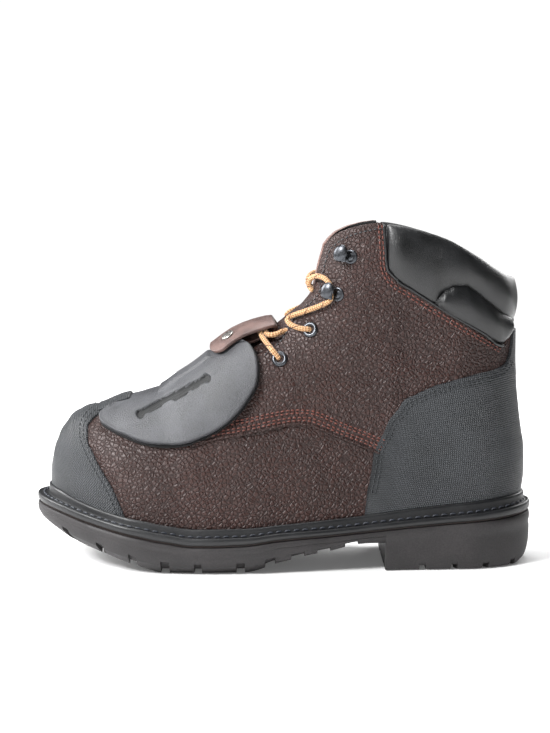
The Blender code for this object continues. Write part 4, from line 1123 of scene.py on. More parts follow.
def edge_height(x):
    """Lower edge of the sole's side, with the heel block behind its breast."""
    return np.where(x < BREAST_FOOT_X - 0.01, smooth(SOLE["x"], SOLE["edge"], x),
                    smooth(HEEL_EDGE["x"], HEEL_EDGE["edge"], x))


def tread_height(x):
    """The face that stands on the floor."""
    return np.where(x < BREAST_FOOT_X - 0.01, smooth(SOLE["x"], SOLE["tread"], x),
                    np.maximum(0.0, smooth(HEEL_EDGE["x"], HEEL_EDGE["edge"], x - 6.0) - 0.5))


def tread_face(points):
    """The tread: channels across, with a shallow zigzag groove down each side and small siped steps.

    Height = tread + channel depth, or tread + 2 mm in the grooves, which run along
    y = centre +- half * 0.42 + 3 sin(2 pi x / 22).
    """
    x, y = points[..., 0], points[..., 1]
    half = smooth(PLAN["x"], PLAN["half"], x)
    centre = smooth(PLAN["x"], PLAN["centre"], x)
    wave = 2.6 * np.abs(((x / 22.0) % 1.0) * 4 - 2) - 2.6
    groove_gap = np.abs(np.abs(y - centre) - half * 0.44 - wave)
    grooved = 2.2 * (1 - ease((groove_gap - 1.3) / 0.9))
    flat = ease((half - 9 - np.abs(y - centre)) / 3.0)
    rib = 1 - 0.75 * np.exp(-((np.abs(y - centre) - half * 0.2) / 6.0) ** 2)
    side = 1 - 0.55 * ease((np.abs(y - centre) - half + 16.0) / 6.0)
    return tread_height(x) + np.maximum(channel_depth(x) * rib * side, grooved * flat)


SIDE_NOTCH = 2.6


def make_outsole():
    """Rubber outsole: a band under the groove, rounded lower edge, lugs and heel block."""
    x = sole_stations()

    def low(share_down):
        return lambda px: (groove(px) - 2.2) * (1 - share_down) + (edge_height(px) + 2.0) * share_down

    def cut(height, reach):
        return lambda px: height(px) + np.minimum(channel_depth(x), SIDE_NOTCH) * reach

    rings = [(3.4, groove), (1.5, groove), (0.9, lambda px: groove(px) - 0.1),
             (0.35, lambda px: groove(px) - 0.7),
             (0.0, low(0.0)), (0.05, low(0.12)), (0.5, low(0.2)), (0.55, low(0.32)), (0.3, low(0.42)),
             (0.35, low(0.7)), (0.5, low(0.88))]
    rings += [(1.0, cut(lambda px: edge_height(px) + 2.0, 0.75)),
              (1.3, cut(lambda px: edge_height(px) + 1.2, 0.85)),
              (1.9, cut(lambda px: edge_height(px) + 0.4, 0.95)), (2.8, cut(edge_height, 1.0)),
              (5.0, cut(lambda px: edge_height(px) * 0.6 + tread_height(px) * 0.4, 1.0)),
              (9.5, cut(tread_height, 1.0))]
    loop, faces = ringed_parts(x, rings, across=110, face=tread_face)
    return piece("outsole_rubber_shell", [(loop, faces)], Finishes.get("rubber"), "outsole",
                 angle=32.0)


def make_welt():
    """Midsole and welt: dark groove, round band, stitched ledge and the bead that hugs the upper."""
    x = sole_stations(1.6)
    inner = ledge(x)
    rings = [
        (3.4, lambda px: groove(px) + 0.3), (1.6, lambda px: groove(px) + 0.3),
        (1.3, lambda px: groove(px) + 1.2), (0.8, lambda px: groove(px) + 1.5),
        (0.2, lambda px: groove(px) + 2.0), (0.0, lambda px: groove(px) + 2.8),
        (0.0, lambda px: rim(px) - 1.8), (0.15, lambda px: rim(px) - 1.0), (0.5, lambda px: rim(px) - 0.35),
        (1.1, rim), (1.6, rim), (2.0, lambda px: rim(px) - 0.25), (2.5, lambda px: rim(px) - 0.25),
        (inner - 4.3, lambda px: rim(px) - 0.1), (inner - 3.5, lambda px: rim(px) + 0.2),
        (inner - 3.2, lambda px: rim(px) + 1.0), (inner - 3.1, lambda px: bead(px) - 1.9),
        (inner - 2.9, lambda px: bead(px) - 0.9), (inner - 2.4, lambda px: bead(px) - 0.25),
        (inner - 1.7, bead), (inner - 1.0, lambda px: bead(px) - 0.2),
        (inner - 0.5, lambda px: bead(px) - 0.8),
        (inner - 0.3, lambda px: seat(px) + 0.2),
    ]
    loop, faces = ringed_parts(x, rings)
    column = np.tile(np.arange(loop.shape[1]), len(x) - 1)
    mirrored = np.minimum(column, loop.shape[1] - 2 - column)
    dark = ((mirrored >= 0) & (mirrored < 3)).astype(np.int32)
    return piece("welt_rubber_shell", [(loop, faces)], [Finishes.get("welt"), Finishes.get("groove")],
                 "welt", indices=[dark], angle=40.0)


def make_insole():
    """Footbed: its cover dips at the heel and the ball, with a soft rolled edge."""
    x = sole_stations(2.0)
    inner = ledge(x) + WALL + 0.6
    rings = [(inner, lambda px: seat(px) + 0.4), (inner - 0.3, lambda px: seat(px) + 1.6),
             (inner, lambda px: seat(px) + 3.0), (inner + 0.8, lambda px: seat(px) + 3.9),
             (inner + 2.2, lambda px: seat(px) + 4.3)]

    def cover(points):
        px, y = points[..., 0], points[..., 1]
        half = smooth(PLAN["x"], PLAN["half"], px)
        across = np.abs(y - smooth(PLAN["x"], PLAN["centre"], px)) / half
        dip = 1.0 * np.exp(-((px - 110) / 34) ** 2) + 0.7 * np.exp(-((px + 60) / 40) ** 2)
        return seat(px) + 4.3 - dip * (1 - across ** 2)

    loop, faces = ringed_parts(x, rings, across=40, face=cover)
    return piece("footbed", [(loop, faces)], Finishes.get("footbed"), "insole")


def make_tongue():
    """Padded leather tongue behind the facings, thinner at its sides."""
    r = np.linspace(10.4, 17.75, 130)[:, None]
    wide = edge_parameter(r, np.maximum(row("open", r) + 6.0, 15.0))
    u = np.linspace(-1, 1, 81)[None, :]
    t = wide * u
    grid = skin(r, t) - skin_normal(r, t) * 5.0
    out = skin_normal(r, t)
    edge = away_from(grid, border(grid))
    height = 0.2 + 0.9 * rounding(edge / 5.0) * (1 + 0.15 * np.sin(grid[..., 2] / 4.0))
    parts = plate_parts(grid, out, height, 3.0)
    return piece("tongue_padding", parts, Finishes.get("leather"), "tongue")


def padded_band(name, bands, front_x, puff, tuck, surface, node, columns=150):
    """A stuffed band round the ankle, sewn along its edges.

    Each section is a closed loop: out = puff * sin(pi s)^0.6 up the outer face, and back down the inner one.
    """
    turn = np.linspace(0, 1, columns)
    part = np.sin(turn * math.pi / 2)
    s = (1 - np.cos(math.pi * np.linspace(0, 1, 26))) / 2
    places = []
    for k in part:
        guess = front_x + (back_x(160.0) - front_x) * k
        low = float(smooth(bands["x"], bands["low"], guess)) - tuck[0]
        high = float(smooth(bands["x"], bands["high"], guess)) + tuck[1]
        z = low + (high - low) * s
        places.append(np.stack([np.full(s.shape, guess), z], -1))
    spots = locate(np.array(places).reshape(-1, 2)).reshape(columns, len(s), 2)
    spots[-1, :, 1] = 1.0
    r = np.concatenate([spots[..., 0], spots[-2::-1, :, 0]])
    u = np.concatenate([-spots[..., 1], spots[-2::-1, :, 1]])
    base = skin(r, u)
    out = skin_normal(r, u)
    out[columns - 1] = (1.0, 0.0, 0.0)
    swell = np.sin(math.pi * s) ** 0.55
    run = np.concatenate([turn, turn[-2::-1]]) * 90.0
    pinch = rounding(np.clip(run / 7.0, 0.0, 1))[:, None]
    wrinkle = 1 + 0.06 * np.sin(run / 3.1)[:, None] * np.sin(math.pi * s)[None] ** 2
    tall = np.ptp(base[..., 2], axis=1)[:, None]
    flat = np.minimum(1.0, tall / 14.0) * (1 - 0.5 * ease((run[:, None] - 60.0) / 30.0))
    outer = base + out * (puff[0] + (puff[1] - puff[0]) * swell[None] * pinch * wrinkle * flat)[..., None]
    inner = base + out * (puff[2] + (puff[3] - puff[2]) * swell[None] * pinch * wrinkle * flat)[..., None]
    loop = np.concatenate([outer, inner[:, ::-1]], 1)
    start = np.repeat(loop[:1].mean(1, keepdims=True), loop.shape[1], 1)
    end = np.repeat(loop[-1:].mean(1, keepdims=True), loop.shape[1], 1)
    whole = np.concatenate([start, loop, end])
    made = piece(name, [(whole, grid_faces(len(whole), whole.shape[1], loop=True))], surface, node,
                 angle=70.0)
    return made


def make_collar():
    """Padded collar and the roll over the heel tendon."""
    leather = Finishes.get("collar")
    padded_band("collar_padding_cover", COLLAR, COLLAR_FRONT_X - 2.6, (-1.0, 4.4, -5.0, -8.6), (2.4, 0.0),
                leather, "collar")
    padded_band("collar_roll_cover", ROLL, ROLL_FRONT_X - 1.0, (-1.2, 4.6, -5.0, -8.2), (2.2, 1.2), leather,
                "collar_roll")


GUARD_STAND = 3.2
GUARD_THICK = 3.2
GUARD_ROLL = 1.1
GUARD_ROLL_REACH = 1.3
PLATEAU = (-78.0, -46.0)
# The slot in the side view is a run of round-ended cuts: two ends of each, and its radius.
SLOT_BLEND = 1.8
SLOT_CUTS = (
    (-88.6, 96.0, -47.4, 117.8, 2.0), (-89.0, 95.6, -88.0, 94.9, 2.3), (-48.0, 118.2, -46.6, 117.5, 2.3),
    (-82.5, 98.2, -76.5, 101.3, 1.95), (-67.0, 105.9, -60.8, 109.3, 2.2), (-55.6, 112.5, -53.4, 113.7, 1.9),
)


def guard_places(rows=120, columns=121, shrink=0.0):
    """Places of the guard: lines from the crest to its edge, from the outer side to the inner side."""
    edge = locate(resample(even(GUARD_EDGE, 1.0), rows))
    crest = np.linspace(locate([GUARD_NOSE])[0, 0], 10.6, rows)
    v = 2 * spaced(100.0, 100.0 / columns, (0.0, 0.1, 0.28, 0.5, 0.8, 1.2)) - 1
    v = v * (1 - shrink)
    r = crest[:, None] + (edge[:, :1] - crest[:, None]) * np.abs(v)[None, :]
    return r, edge[:, 1:] * v[None, :]


def guard_relief(grid):
    """Relief of the guard's face: the raised panel over the crest, and how far inside a slot each point lies.

    Panel = 1.2 mm * ease from its outline; inside a slot = soft largest of (radius - distance to the cut).
    """
    x, y, z = grid[..., 0], grid[..., 1], grid[..., 2]
    inside = np.minimum(np.minimum(x - PLATEAU[0], PLATEAU[1] - x), 12.5 - np.abs(y))
    panel = 1.2 * ease(inside / 2.0 + 0.3)
    flat = np.stack([x, z], -1)
    total = np.full(x.shape, 1e-9)
    for x0, z0, x1, z1, radius in SLOT_CUTS:
        inside_cut = radius - away_from(flat, np.array([(x0, z0), (x1, z1)]))
        total += np.exp(SLOT_BLEND * np.maximum(inside_cut, -9.0))
    depth = np.log(total) / SLOT_BLEND - 0.35
    return panel, np.where(np.abs(y) > 8, depth, -9.0)


def make_guard():
    """Metatarsal guard plate with its raised panel and slots, on its soft backing. The slots' floors are
    darker, as painted shade, and the near-black backing reaches past the plate's edge, partly its own colour
    and partly painted shade.
    """
    r, t = guard_places(210, 170)
    out = skin_normal(r, t)
    base = skin(r, t) + out * GUARD_STAND
    edge = away_from(base, border(base))
    panel, slot = guard_relief(skin(r, t) + out * (GUARD_STAND + GUARD_THICK))
    ribs = 0.25 * np.sin((base[..., 2] - base[..., 0] * 0.53) * 2 * math.pi / 1.3)
    cut = ease(slot / 0.7 + 0.4) * (1.7 + ribs * ease(slot / 0.8))
    low_nose = 1.7 * (1 - ease((base[..., 0] + 107.0) / 14.0))
    rolled = GUARD_ROLL * rounding(edge / GUARD_ROLL_REACH)
    height = (GUARD_THICK - GUARD_ROLL) + rolled + panel * ease(edge / 3.0)
    height = height - cut - low_nose * ease(edge / 4.0 + 0.4)
    parts = plate_parts(base, out, height, 0.01)
    # Faces inside a slot take the darker slot finish, which is painted shade in the recess.
    inner = ((slot[:-1, :-1] + slot[1:, 1:]) / 2 > 0.1).astype(np.int32).ravel()
    indices = [inner, np.zeros(len(parts[1][1]), np.int32), np.zeros(len(parts[2][1]), np.int32)]
    piece("guard_plate_shell", parts, [Finishes.get("guard"), Finishes.get("slot")],
          "guard_plate", indices=indices)
    # The pad is made a little larger than the plate, so its near-black rim shows under the plate's edge:
    # partly the pad's own colour, partly painted shade.
    r, t = guard_places(110, 101, -0.014)
    out = skin_normal(r, t)
    base = skin(r, t)
    piece("guard_foam_pad", plate_parts(base, out, np.full(r.shape, GUARD_STAND - 0.15), 0.4),
          Finishes.get("foam"), "guard_pad")


# The cap's lip: its ends in the side view, its half width and how that narrows, its stand over the leather.
LIP_FRONT = (-116.5, 96.4)
LIP_REAR = (-95.5, 98.6)
LIP_HALF = 17.0
LIP_TAPER = 5.5
LIP_STAND = 1.5
LIP_RISE = 5.7
LIP_DROP = 0.8


def make_cap_lip():
    """Raised rear lip of the toe cap, which runs up the crest and covers the guard's nose.

    It stands LIP_STAND + LIP_RISE * ease(run) over the leather, and less towards its sides.
    """
    run = spaced(22.0, 0.5)[:, None]
    front, rear = locate([LIP_FRONT])[0, 0], locate([LIP_REAR])[0, 0]
    r = front + (rear - front) * run
    v = 2 * spaced(34.0, 0.6, (0.0, 0.1, 0.25, 0.45, 0.7)) - 1
    half = LIP_HALF - LIP_TAPER * run
    t = edge_parameter(r, half * np.abs(v)) * np.sign(v)
    rr = np.broadcast_to(r, t.shape)
    stand = LIP_STAND + LIP_RISE * ease(run) - LIP_DROP * ease(run) * np.abs(v)[None, :] ** 3
    base = skin(rr, t) + skin_normal(rr, t) * stand[..., None]
    out = grid_normals(base)
    out = out * np.sign((out * skin_normal(rr, t)).sum(-1).mean())
    edge = away_from(base, border(base))
    uv = lengths(base)
    rim = np.stack([np.concatenate([border(uv), border(uv)[:1]])] * 2)
    piece("toe_cap_lip", plate_parts(base, out, 0.7 * rounding(edge / 1.0), 1.4), Finishes.get("coating"),
          uv=[uv, uv, rim])


STRAP = table(
    "outer stand",
    (11.1, 0.2), (11.5, -1.4), (11.85, -2.6), (12.1, -3.0), (12.26, -2.4), (12.36, -0.8), (12.36, 1.2),
    (12.24, 3.2), (12.05, 4.8), (11.8, 6.4), (11.5, 7.9), (11.15, 9.3), (10.8, 10.1), (10.4, 10.3),
    (10.1, 10.3),
)
STRAP_HALF = 19.0
STRAP_THICK = 1.9


def make_strap():
    """Leather tab that folds over the lace and carries the guard, its front corners rounded."""
    number = np.arange(len(STRAP["outer"]))
    run = np.linspace(0, number[-1], 130)
    r = smooth(number, STRAP["outer"], run)
    stand = smooth(number, STRAP["stand"], run)
    crest = skin(r, np.zeros_like(r)) + skin_normal(r, np.zeros_like(r)) * stand[:, None]
    to_front = np.concatenate(([0], np.cumsum(np.linalg.norm(np.diff(crest, axis=0), axis=1))))
    to_front = to_front[-1] - to_front
    half = STRAP_HALF - 3.5 * ease(to_front / 26.0) - 9.0 * (1 - rounding(to_front / 9.0))
    v = 2 * spaced(30.0, 0.7, (0.0, 0.1, 0.25, 0.45, 0.7)) - 1
    y = half[:, None] * v[None, :]
    t = edge_parameter(r[:, None], np.abs(y)) * np.sign(v)[None, :]
    rr = np.repeat(r[:, None], len(v), 1)
    face = skin(rr, t) + skin_normal(rr, t) * stand[:, None, None]
    out = grid_normals(face)
    out = out * np.where((out[-20] * skin_normal(rr[-20], t[-20])).sum() < 0, -1.0, 1.0)
    edge = away_from(face, border(face))
    height = -0.5 + 0.5 * rounding(edge / 0.6)
    parts = plate_parts(face, out, height, STRAP_THICK)
    return piece("guard_strap_leather", parts, Finishes.get("strap"), "guard_strap",
                 angle=60.0)


def turned_parts(place, profile, segments=40, squash=1.0):
    """A ring or dome turned about its place's outward axis from a profile of (radius, height)."""
    centre, forward, up, out = place
    angle = np.arange(segments) * 2 * math.pi / segments
    profile = np.asarray(profile, float)
    around = forward * np.cos(angle)[:, None] + up * np.sin(angle)[:, None] * squash
    points = centre + around[None] * profile[:, None, :1] + out * profile[:, None, 1:]
    return points, grid_faces(len(profile), segments, loop=True)


def arc_profile(radius, tube, height, first, last, count=14):
    """Points of a round section: radius + tube cos, height + tube sin."""
    angle = np.radians(np.linspace(first, last, count))
    return np.stack([radius + tube * np.cos(angle), height + tube * np.sin(angle)], -1)


EYELET_PLACES = ((-1.9, 129.2), (17.1, 147.3))
HOOK_PLACES = ((33.6, 169.6), (41.4, 192.6))


def make_hardware():
    """Eyelets and speed hooks; a near-black floor closes each eyelet's bore as painted shade in the hole."""
    metal = Finishes.get("gunmetal")
    dark = Finishes.get("foam")
    for side, label in SIDES:
        for i, (x, z) in enumerate(EYELET_PLACES, 1):
            place = frame_on(x, z, side, QUARTER_LIFT - 0.15)
            roll = arc_profile(3.6, 1.4, 0.2, 215, -35)
            profile = np.concatenate([[(2.0, -2.6), (2.1, -1.0)], roll, [(4.9, -0.9)]])
            # Painted shade: a near-black floor down in the eyelet's bore.
            floor_points, floor_faces = turned_parts(place, [(0.0, -0.9), (2.4, -0.9), (2.4, -2.0)], 24)
            ring, faces = turned_parts(place, profile, 48)
            indices = [np.zeros(len(faces), np.int32), np.ones(len(floor_faces), np.int32)]
            piece(f"eyelet_ring_{label}_{i}", [(ring, faces), (floor_points, floor_faces)], [metal, dark],
                  f"eyelet_{label}_{i}", indices=indices)
        for i, (x, z) in enumerate(HOOK_PLACES, 1):
            make_hook(frame_on(x, z, side, QUARTER_LIFT - 0.35), f"hook_shape_{label}_{i}",
                      f"hook_{label}_{i}", metal)


def leaned(place, degrees, forward=0.0, up=0.0, out=0.0, tip=0.0):
    """A place moved along its own axes, turned in the leather's plane, and tipped forward."""
    centre, ahead, rise, face = place
    moved = centre + ahead * forward + rise * up + face * out
    a = math.radians(degrees)
    ahead, rise = ahead * math.cos(a) + rise * math.sin(a), rise * math.cos(a) - ahead * math.sin(a)
    b = math.radians(tip)
    ahead, face = ahead * math.cos(b) - face * math.sin(b), face * math.cos(b) + ahead * math.sin(b)
    return moved, ahead, rise, face


def make_hook(place, name, node, metal):
    """A speed hook: a riveted washer, a bent neck and a domed oval nose that leans over the lace."""
    centre, backward, up, out = place
    forward = -backward
    place = (centre, forward, up, out)
    washer = turned_parts(place, [(0.0, 1.35), (1.1, 1.3), (1.9, 1.0), (2.3, 0.75), (2.9, 0.95), (3.9, 0.95),
                                  (4.4, 0.65), (4.5, 0.1)], 36)
    number = np.linspace(0, 1, 40)
    turn = np.linspace(-90, 90, 40)
    along = 1.0 + 4.4 * np.cos(np.radians(turn)) ** 0.8
    height = 3.15 + 2.35 * np.sin(np.radians(turn))
    half = 2.6 + 0.9 * np.abs(2 * number - 1)
    flat = np.stack([along, height], -1)
    ahead = unit(np.gradient(flat, axis=0))
    lift = np.stack([-ahead[:, 1], ahead[:, 0]], -1)
    angle = np.arange(20) * 2 * math.pi / 20
    wide = np.sign(np.cos(angle)) * np.abs(np.cos(angle)) ** 0.4
    tall = np.sign(np.sin(angle)) * np.abs(np.sin(angle)) ** 0.7 * 0.5
    cross = flat[:, None] + lift[:, None] * tall[None, :, None]
    points = (centre + forward * cross[..., :1] + out * cross[..., 1:]
              + up * (half[:, None] * wide[None, :])[..., None])
    caps = np.concatenate([np.repeat(points[:1].mean(1, keepdims=True), 20, 1), points,
                           np.repeat(points[-1:].mean(1, keepdims=True), 20, 1)])
    nose_place = leaned(place, 24, 4.8, 1.9, 4.9, 4)
    dome = [(0.0, 1.75), (1.5, 1.66), (2.8, 1.34), (3.8, 0.84), (4.4, 0.32), (4.5, -0.12), (4.2, -0.42),
            (2.8, -0.3),
            (0.0, 0.1)]
    nose = turned_parts(nose_place, dome, 40, 1.22)
    piece(name, [(caps, grid_faces(len(caps), 20, loop=True)), washer, nose], metal, node,
          angle=60.0)


RIVET_PLACE = (10.78, 10.4, 10.5)


def make_rivet(strap):
    """Low domed rivet through the strap, with a rolled rim, seated on the strap's face."""
    r, y, stand = RIVET_PLACE
    t = float(edge_parameter(r, y))
    points, faces_out = settle([offset(r, t, OUTER, stand + 3.0)], tree_of(strap))
    centre, out = points[0], faces_out[0]
    forward = np.cross((0.0, 1.0, 0.0), out)
    forward /= np.linalg.norm(forward)
    place = (centre, forward, np.cross(out, forward), out)
    profile = [(0.0, 1.15), (1.2, 1.15), (2.2, 1.05), (2.8, 0.8), (3.2, 0.95), (3.8, 0.9), (4.15, 0.55),
               (4.2, 0.0),
               (3.9, -0.4)]
    piece("guard_rivet_head", [turned_parts(place, profile, 48)], Finishes.get("steel"),
          "guard_rivet")


LOWER_BAR = ((-1.9, 29.0, 129.2), (-6.4, 28.6, 134.8), (-9.4, 24.6, 138.2))
UPPER_BAR = ((8.0, 19.5, 144.9), (1.2, 18.2, 146.2), (-3.4, 19.8, 144.4), (-7.4, 20.2, 143.6))
FOLD_PLACES = ((11.74, 2.2), (11.93, 1.2))
LACE_TO_HOOK = (
    (17.3, 147.4, -0.6), (16.0, 147.4, 1.6), (13.4, 147.2, 2.8), (10.4, 147.5, 3.2), (7.4, 148.4, 3.3),
    (5.2, 149.8, 3.4), (4.4, 151.6, 3.5), (6.4, 153.4, 3.5), (9.8, 154.9, 3.5), (14.0, 156.7, 3.5),
    (18.6, 158.8, 3.5), (23.2, 161.0, 3.6), (27.2, 163.2, 3.8),
)
LACE_FROM_HOOK = (
    (29.6, 177.4, 4.2), (26.4, 179.6, 4.4), (22.6, 179.2, 4.2), (19.8, 176.6, 3.8), (18.6, 173.4, 3.0),
    (19.6, 170.6, 1.4),
)
HOOK_BEND = (3.2, 3.3)
# The braid's strands stand out from this to the lace's full diameter.
LACE_SEEN = 3.25


def through_hook(side):
    """Points of a lace as it passes up through the bend of the lower hook."""
    centre, forward, up, out = frame_on(*HOOK_PLACES[0], side, 0.5)
    reach, height = HOOK_BEND
    return np.array([centre - forward * reach + out * height + up * w for w in (-3.0, 0.5, 4.0)])


def bar_line(route, r, stand):
    """Line of a crossing from the outer side through the strap's fold to the inner side."""
    route = np.asarray(route, float)
    fold = [offset(r, edge_parameter(r, abs(y)), OUTER if y < 0 else INNER, stand)
            for y in (-17.0, -13.0, -8.0, -3.0, 3.0, 8.0, 13.0, 17.0)]
    return even(np.concatenate([route * (1, OUTER, 1), fold, route[::-1] * (1, INNER, 1)]), 0.45)


def make_laces():
    """The braided lace: its crossings through the strap's fold, and its two ends."""
    cord = Finishes.get("cord")
    parts, turns = [], []
    for route, place in zip((LOWER_BAR, UPPER_BAR), FOLD_PLACES):
        part, turn = braid_parts(bar_line(route, *place), LACE_SEEN)
        parts += part
        turns.append(turn)
    piece("lace_crossing_cord", parts, cord, "lace_crossings", uv=turns, angle=180.0)
    for side, label in SIDES:
        route = np.concatenate([on_side(LACE_TO_HOOK, side), through_hook(side),
                                on_side(LACE_FROM_HOOK, side)])
        line = even(route, 0.45)
        part, turn = braid_parts(line, LACE_SEEN)
        made = piece(f"lace_end_cord_{label}", part, cord, f"lace_end_{label}", uv=[turn],
                     angle=180.0)


def sewn(name, tree, lines, thread, radius=0.42, lift=1.5):
    """Rows of stitches on a finished surface; each row is a side view line on one or both sides."""
    pitch = chosen().stitch_pitch / MM
    length = pitch * 0.8
    parts = []
    for line in lines:
        for side, _ in SIDES:
            spots = locate(even(line, 1.2))
            guess = offset(spots[:, 0], spots[:, 1], side, lift)
            points, out = settle(guess, tree)
            parts += stitch_parts(points, out, pitch, length, radius)
    piece(name, parts, Finishes.get(thread), weld=0.0005, angle=180.0)


def tube_on(tree, line, side, radius, lift, sink):
    """A round bead along a side view line, half sunk in a surface; its section is a circle."""
    spots = locate(even(line, 1.0))
    points, out = settle(offset(spots[:, 0], spots[:, 1], side, lift), tree)
    parts, _ = braid_parts(points + out * (radius - sink), radius * 2, sides=10, relief=0.0)
    return parts


def make_seams(upper, cap, counter, welt):
    """Stitched rows, the rolled edge of the quarter and the collar's piping."""
    tree = tree_of(upper)
    front = np.array((*FACING_FRONT, *FACING_TOP))
    quarter = np.array(((-62.0, 78.4), *QUARTER_EDGE, (60.0, 72.0)))
    seam = np.array(COLLAR_SEAM[:9])
    roll, piping = [], []
    for side, _ in SIDES:
        roll += tube_on(tree, quarter, side, 0.95, 0.5, 0.55)
        piping += tube_on(tree, seam, side, 1.05, 0.5, 0.35)
    piece("quarter_edge_roll", roll, Finishes.get("leather"), angle=180.0)
    piece("collar_piping", piping, Finishes.get("collar"), angle=180.0)
    sewn("quarter_stitching", tree, [shifted(quarter, d) for d in (2.0, 3.9, 6.6, 8.4)], "red_thread")
    sewn("collar_stitching", tree, [shifted(seam, d) for d in (-2.6, -4.6)], "red_thread")
    sewn("facing_stitching", tree, [shifted(front, -2.4)], "black_thread")
    edge = np.array(CAP_EDGE[:8])
    sewn("cap_stitching", tree_of(cap), [shifted(edge, d) for d in (2.4, 4.8)], "black_thread")
    edge = np.array(COUNTER_EDGE[1:15])
    sewn("counter_stitching", tree_of(counter), [shifted(edge, d) for d in (-2.4, -4.8)], "black_thread")
    make_welt_stitching(tree_of(welt))


def make_welt_stitching(tree):
    """Lock stitches on the ledge of the welt, once round the boot."""
    x = sole_stations(1.0)
    px, low, high = plan_ring(x, 4.2 + 0 * x)
    z = rim(px) + 0.4
    loop = np.concatenate([np.stack([px, low, z], -1), np.stack([px, high, z], -1)[::-1]])
    run = np.concatenate(([0], np.cumsum(np.linalg.norm(np.diff(loop, axis=0), axis=1))))
    places = np.arange(0, run[-1], 1.0)
    line = np.stack([np.interp(places, run, loop[:, k]) for k in range(3)], -1)
    points, _ = settle(line, tree)
    out = np.repeat([(0.0, 0.0, 1.0)], len(points), 0)
    piece("welt_stitching", stitch_parts(points, out, 5.4, 4.4, 0.62, 0.2), Finishes.get("welt_thread"),
          weld=0.0005, angle=180.0)


FLOOR_RINGS = (0.0, 0.15, 0.3, 0.6, 0.9, 1.15)
CAMERA_LENS_MM = 89.84
CAMERA_SENSOR_MM = 36.0
CAMERA_PLACE = (-0.005, -1.150, 0.238)
CAMERA_DOWN = 5.76


def make_stage():
    """Pale floor, soft studio lights from the upper left, a white surround and the camera."""
    scene = bpy.context.scene
    angle = np.arange(96) * 2 * math.pi / 96
    radius = np.array(FLOOR_RINGS)[:, None]
    points = np.stack([radius * np.cos(angle), radius * np.sin(angle), 0 * radius * angle], -1)
    mesh = bpy.data.meshes.new("studio_floor")
    mesh.from_pydata(points.reshape(-1, 3).tolist(), [], grid_faces(len(radius), 96, loop=True).tolist())
    build = bmesh.new()
    build.from_mesh(mesh)
    bmesh.ops.remove_doubles(build, verts=build.verts, dist=1e-5)
    bmesh.ops.dissolve_degenerate(build, edges=build.edges, dist=1e-5)
    build.to_mesh(mesh)
    build.free()
    floor = bpy.data.objects.new("studio_floor", mesh)
    scene.collection.objects.link(floor)
    made, tree, shader = started("matte_white_paper", Roughness=0.9)
    shader.inputs["Base Color"].default_value = (*linear("#F2F2F2"), 1)
    shader.inputs["Emission Color"].default_value = (1.0, 1.0, 1.0, 1)
    far = put(tree, "ShaderNodeVectorMath", {"operation": "LENGTH"}, i0=place_of(tree)).outputs["Value"]
    tree.links.new(stepped(tree, far, 0.25, 0.95, 0.1, 0.7), shader.inputs["Emission Strength"])
    mesh.materials.append(made)
    world = bpy.data.worlds.new("studio_light")
    scene.world = world
    world.use_nodes = True
    tree = world.node_tree
    background = tree.nodes["Background"]
    background.inputs["Color"].default_value = (1.0, 1.0, 1.0, 1)
    seen = put(tree, "ShaderNodeLightPath").outputs["Is Camera Ray"]
    tree.links.new(calc(tree, "MULTIPLY_ADD", seen, 0.93, 0.12), background.inputs["Strength"])
    lights = (
        ("key_softbox", (-1.0, -0.8, 1.1), 0.5, chosen().key_power),
        ("front_fill", (-0.3, -2.0, 0.6), 1.0, 2.0),
        ("top_softbox", (0.0, 0.25, 1.4), 0.8, 17.0), ("rim_softbox", (-1.2, 0.35, 0.7), 0.7, 20.0),
        ("back_softbox", (0.9, 1.2, 0.8), 0.9, 12.0),
    )
    for name, place, size, power in lights:
        data = bpy.data.lights.new(name, "AREA")
        data.shape = "SQUARE"
        data.size = size
        data.energy = power
        lamp = bpy.data.objects.new(name, data)
        lamp.location = place
        lamp.rotation_euler = (Vector((0, 0, 0.1)) - Vector(place)).to_track_quat("-Z", "Y").to_euler()
        scene.collection.objects.link(lamp)
    camera = bpy.data.cameras.new("camera")
    camera.lens = CAMERA_LENS_MM
    camera.sensor_width = CAMERA_SENSOR_MM
    view = bpy.data.objects.new("camera", camera)
    view.location = CAMERA_PLACE
    view.rotation_euler = (math.radians(90 - CAMERA_DOWN), 0.0, 0.0)
    scene.collection.objects.link(view)
    scene.camera = view
    scene.view_settings.view_transform = "Standard"


class BootSettings(bpy.types.PropertyGroup):
    """Colours and small sizes of the boot that a maker may change."""

    leather_colour: FloatVectorProperty(
        name="Leather colour", description="Colour of the pebbled leather, in linear light", size=3, min=0.0,
        max=1.0, subtype="COLOR", default=linear("#2F1B17"))
    thread_colour: FloatVectorProperty(
        name="Thread colour", description="Colour of the decorative stitching, in linear light", size=3,
        min=0.0,
        max=1.0, subtype="COLOR", default=linear("#66352B"))
    lace_colour: FloatVectorProperty(
        name="Lace colour", description="Darker colour of the braided lace, in linear light", size=3, min=0.0,
        max=1.0, subtype="COLOR", default=linear("#8E5E3A"))
    pebble_size: FloatProperty(
        name="Pebble size", description="Width of one pebble of the leather's grain", default=0.0025,
        min=0.0005,
        max=0.006, subtype="DISTANCE", unit="LENGTH", precision=4)
    stitch_pitch: FloatProperty(
        name="Stitch pitch", description="Distance from one stitch to the next", default=0.0031, min=0.0015,
        max=0.008, subtype="DISTANCE", unit="LENGTH", precision=4)
    key_power: FloatProperty(
        name="Key light", description="Power of the main soft light", default=43.0, min=0.0, subtype="POWER",
        unit="POWER")


def chosen():
    """The boot's settings in the current scene."""
    return bpy.context.scene.boot


class BOOT_OT_stage(bpy.types.Operator):
    """Make the floor, the lights and the camera."""

    bl_idname = "boot.stage"
    bl_label = "Studio stage"

    def execute(self, context):
        make_stage()
        return {"FINISHED"}


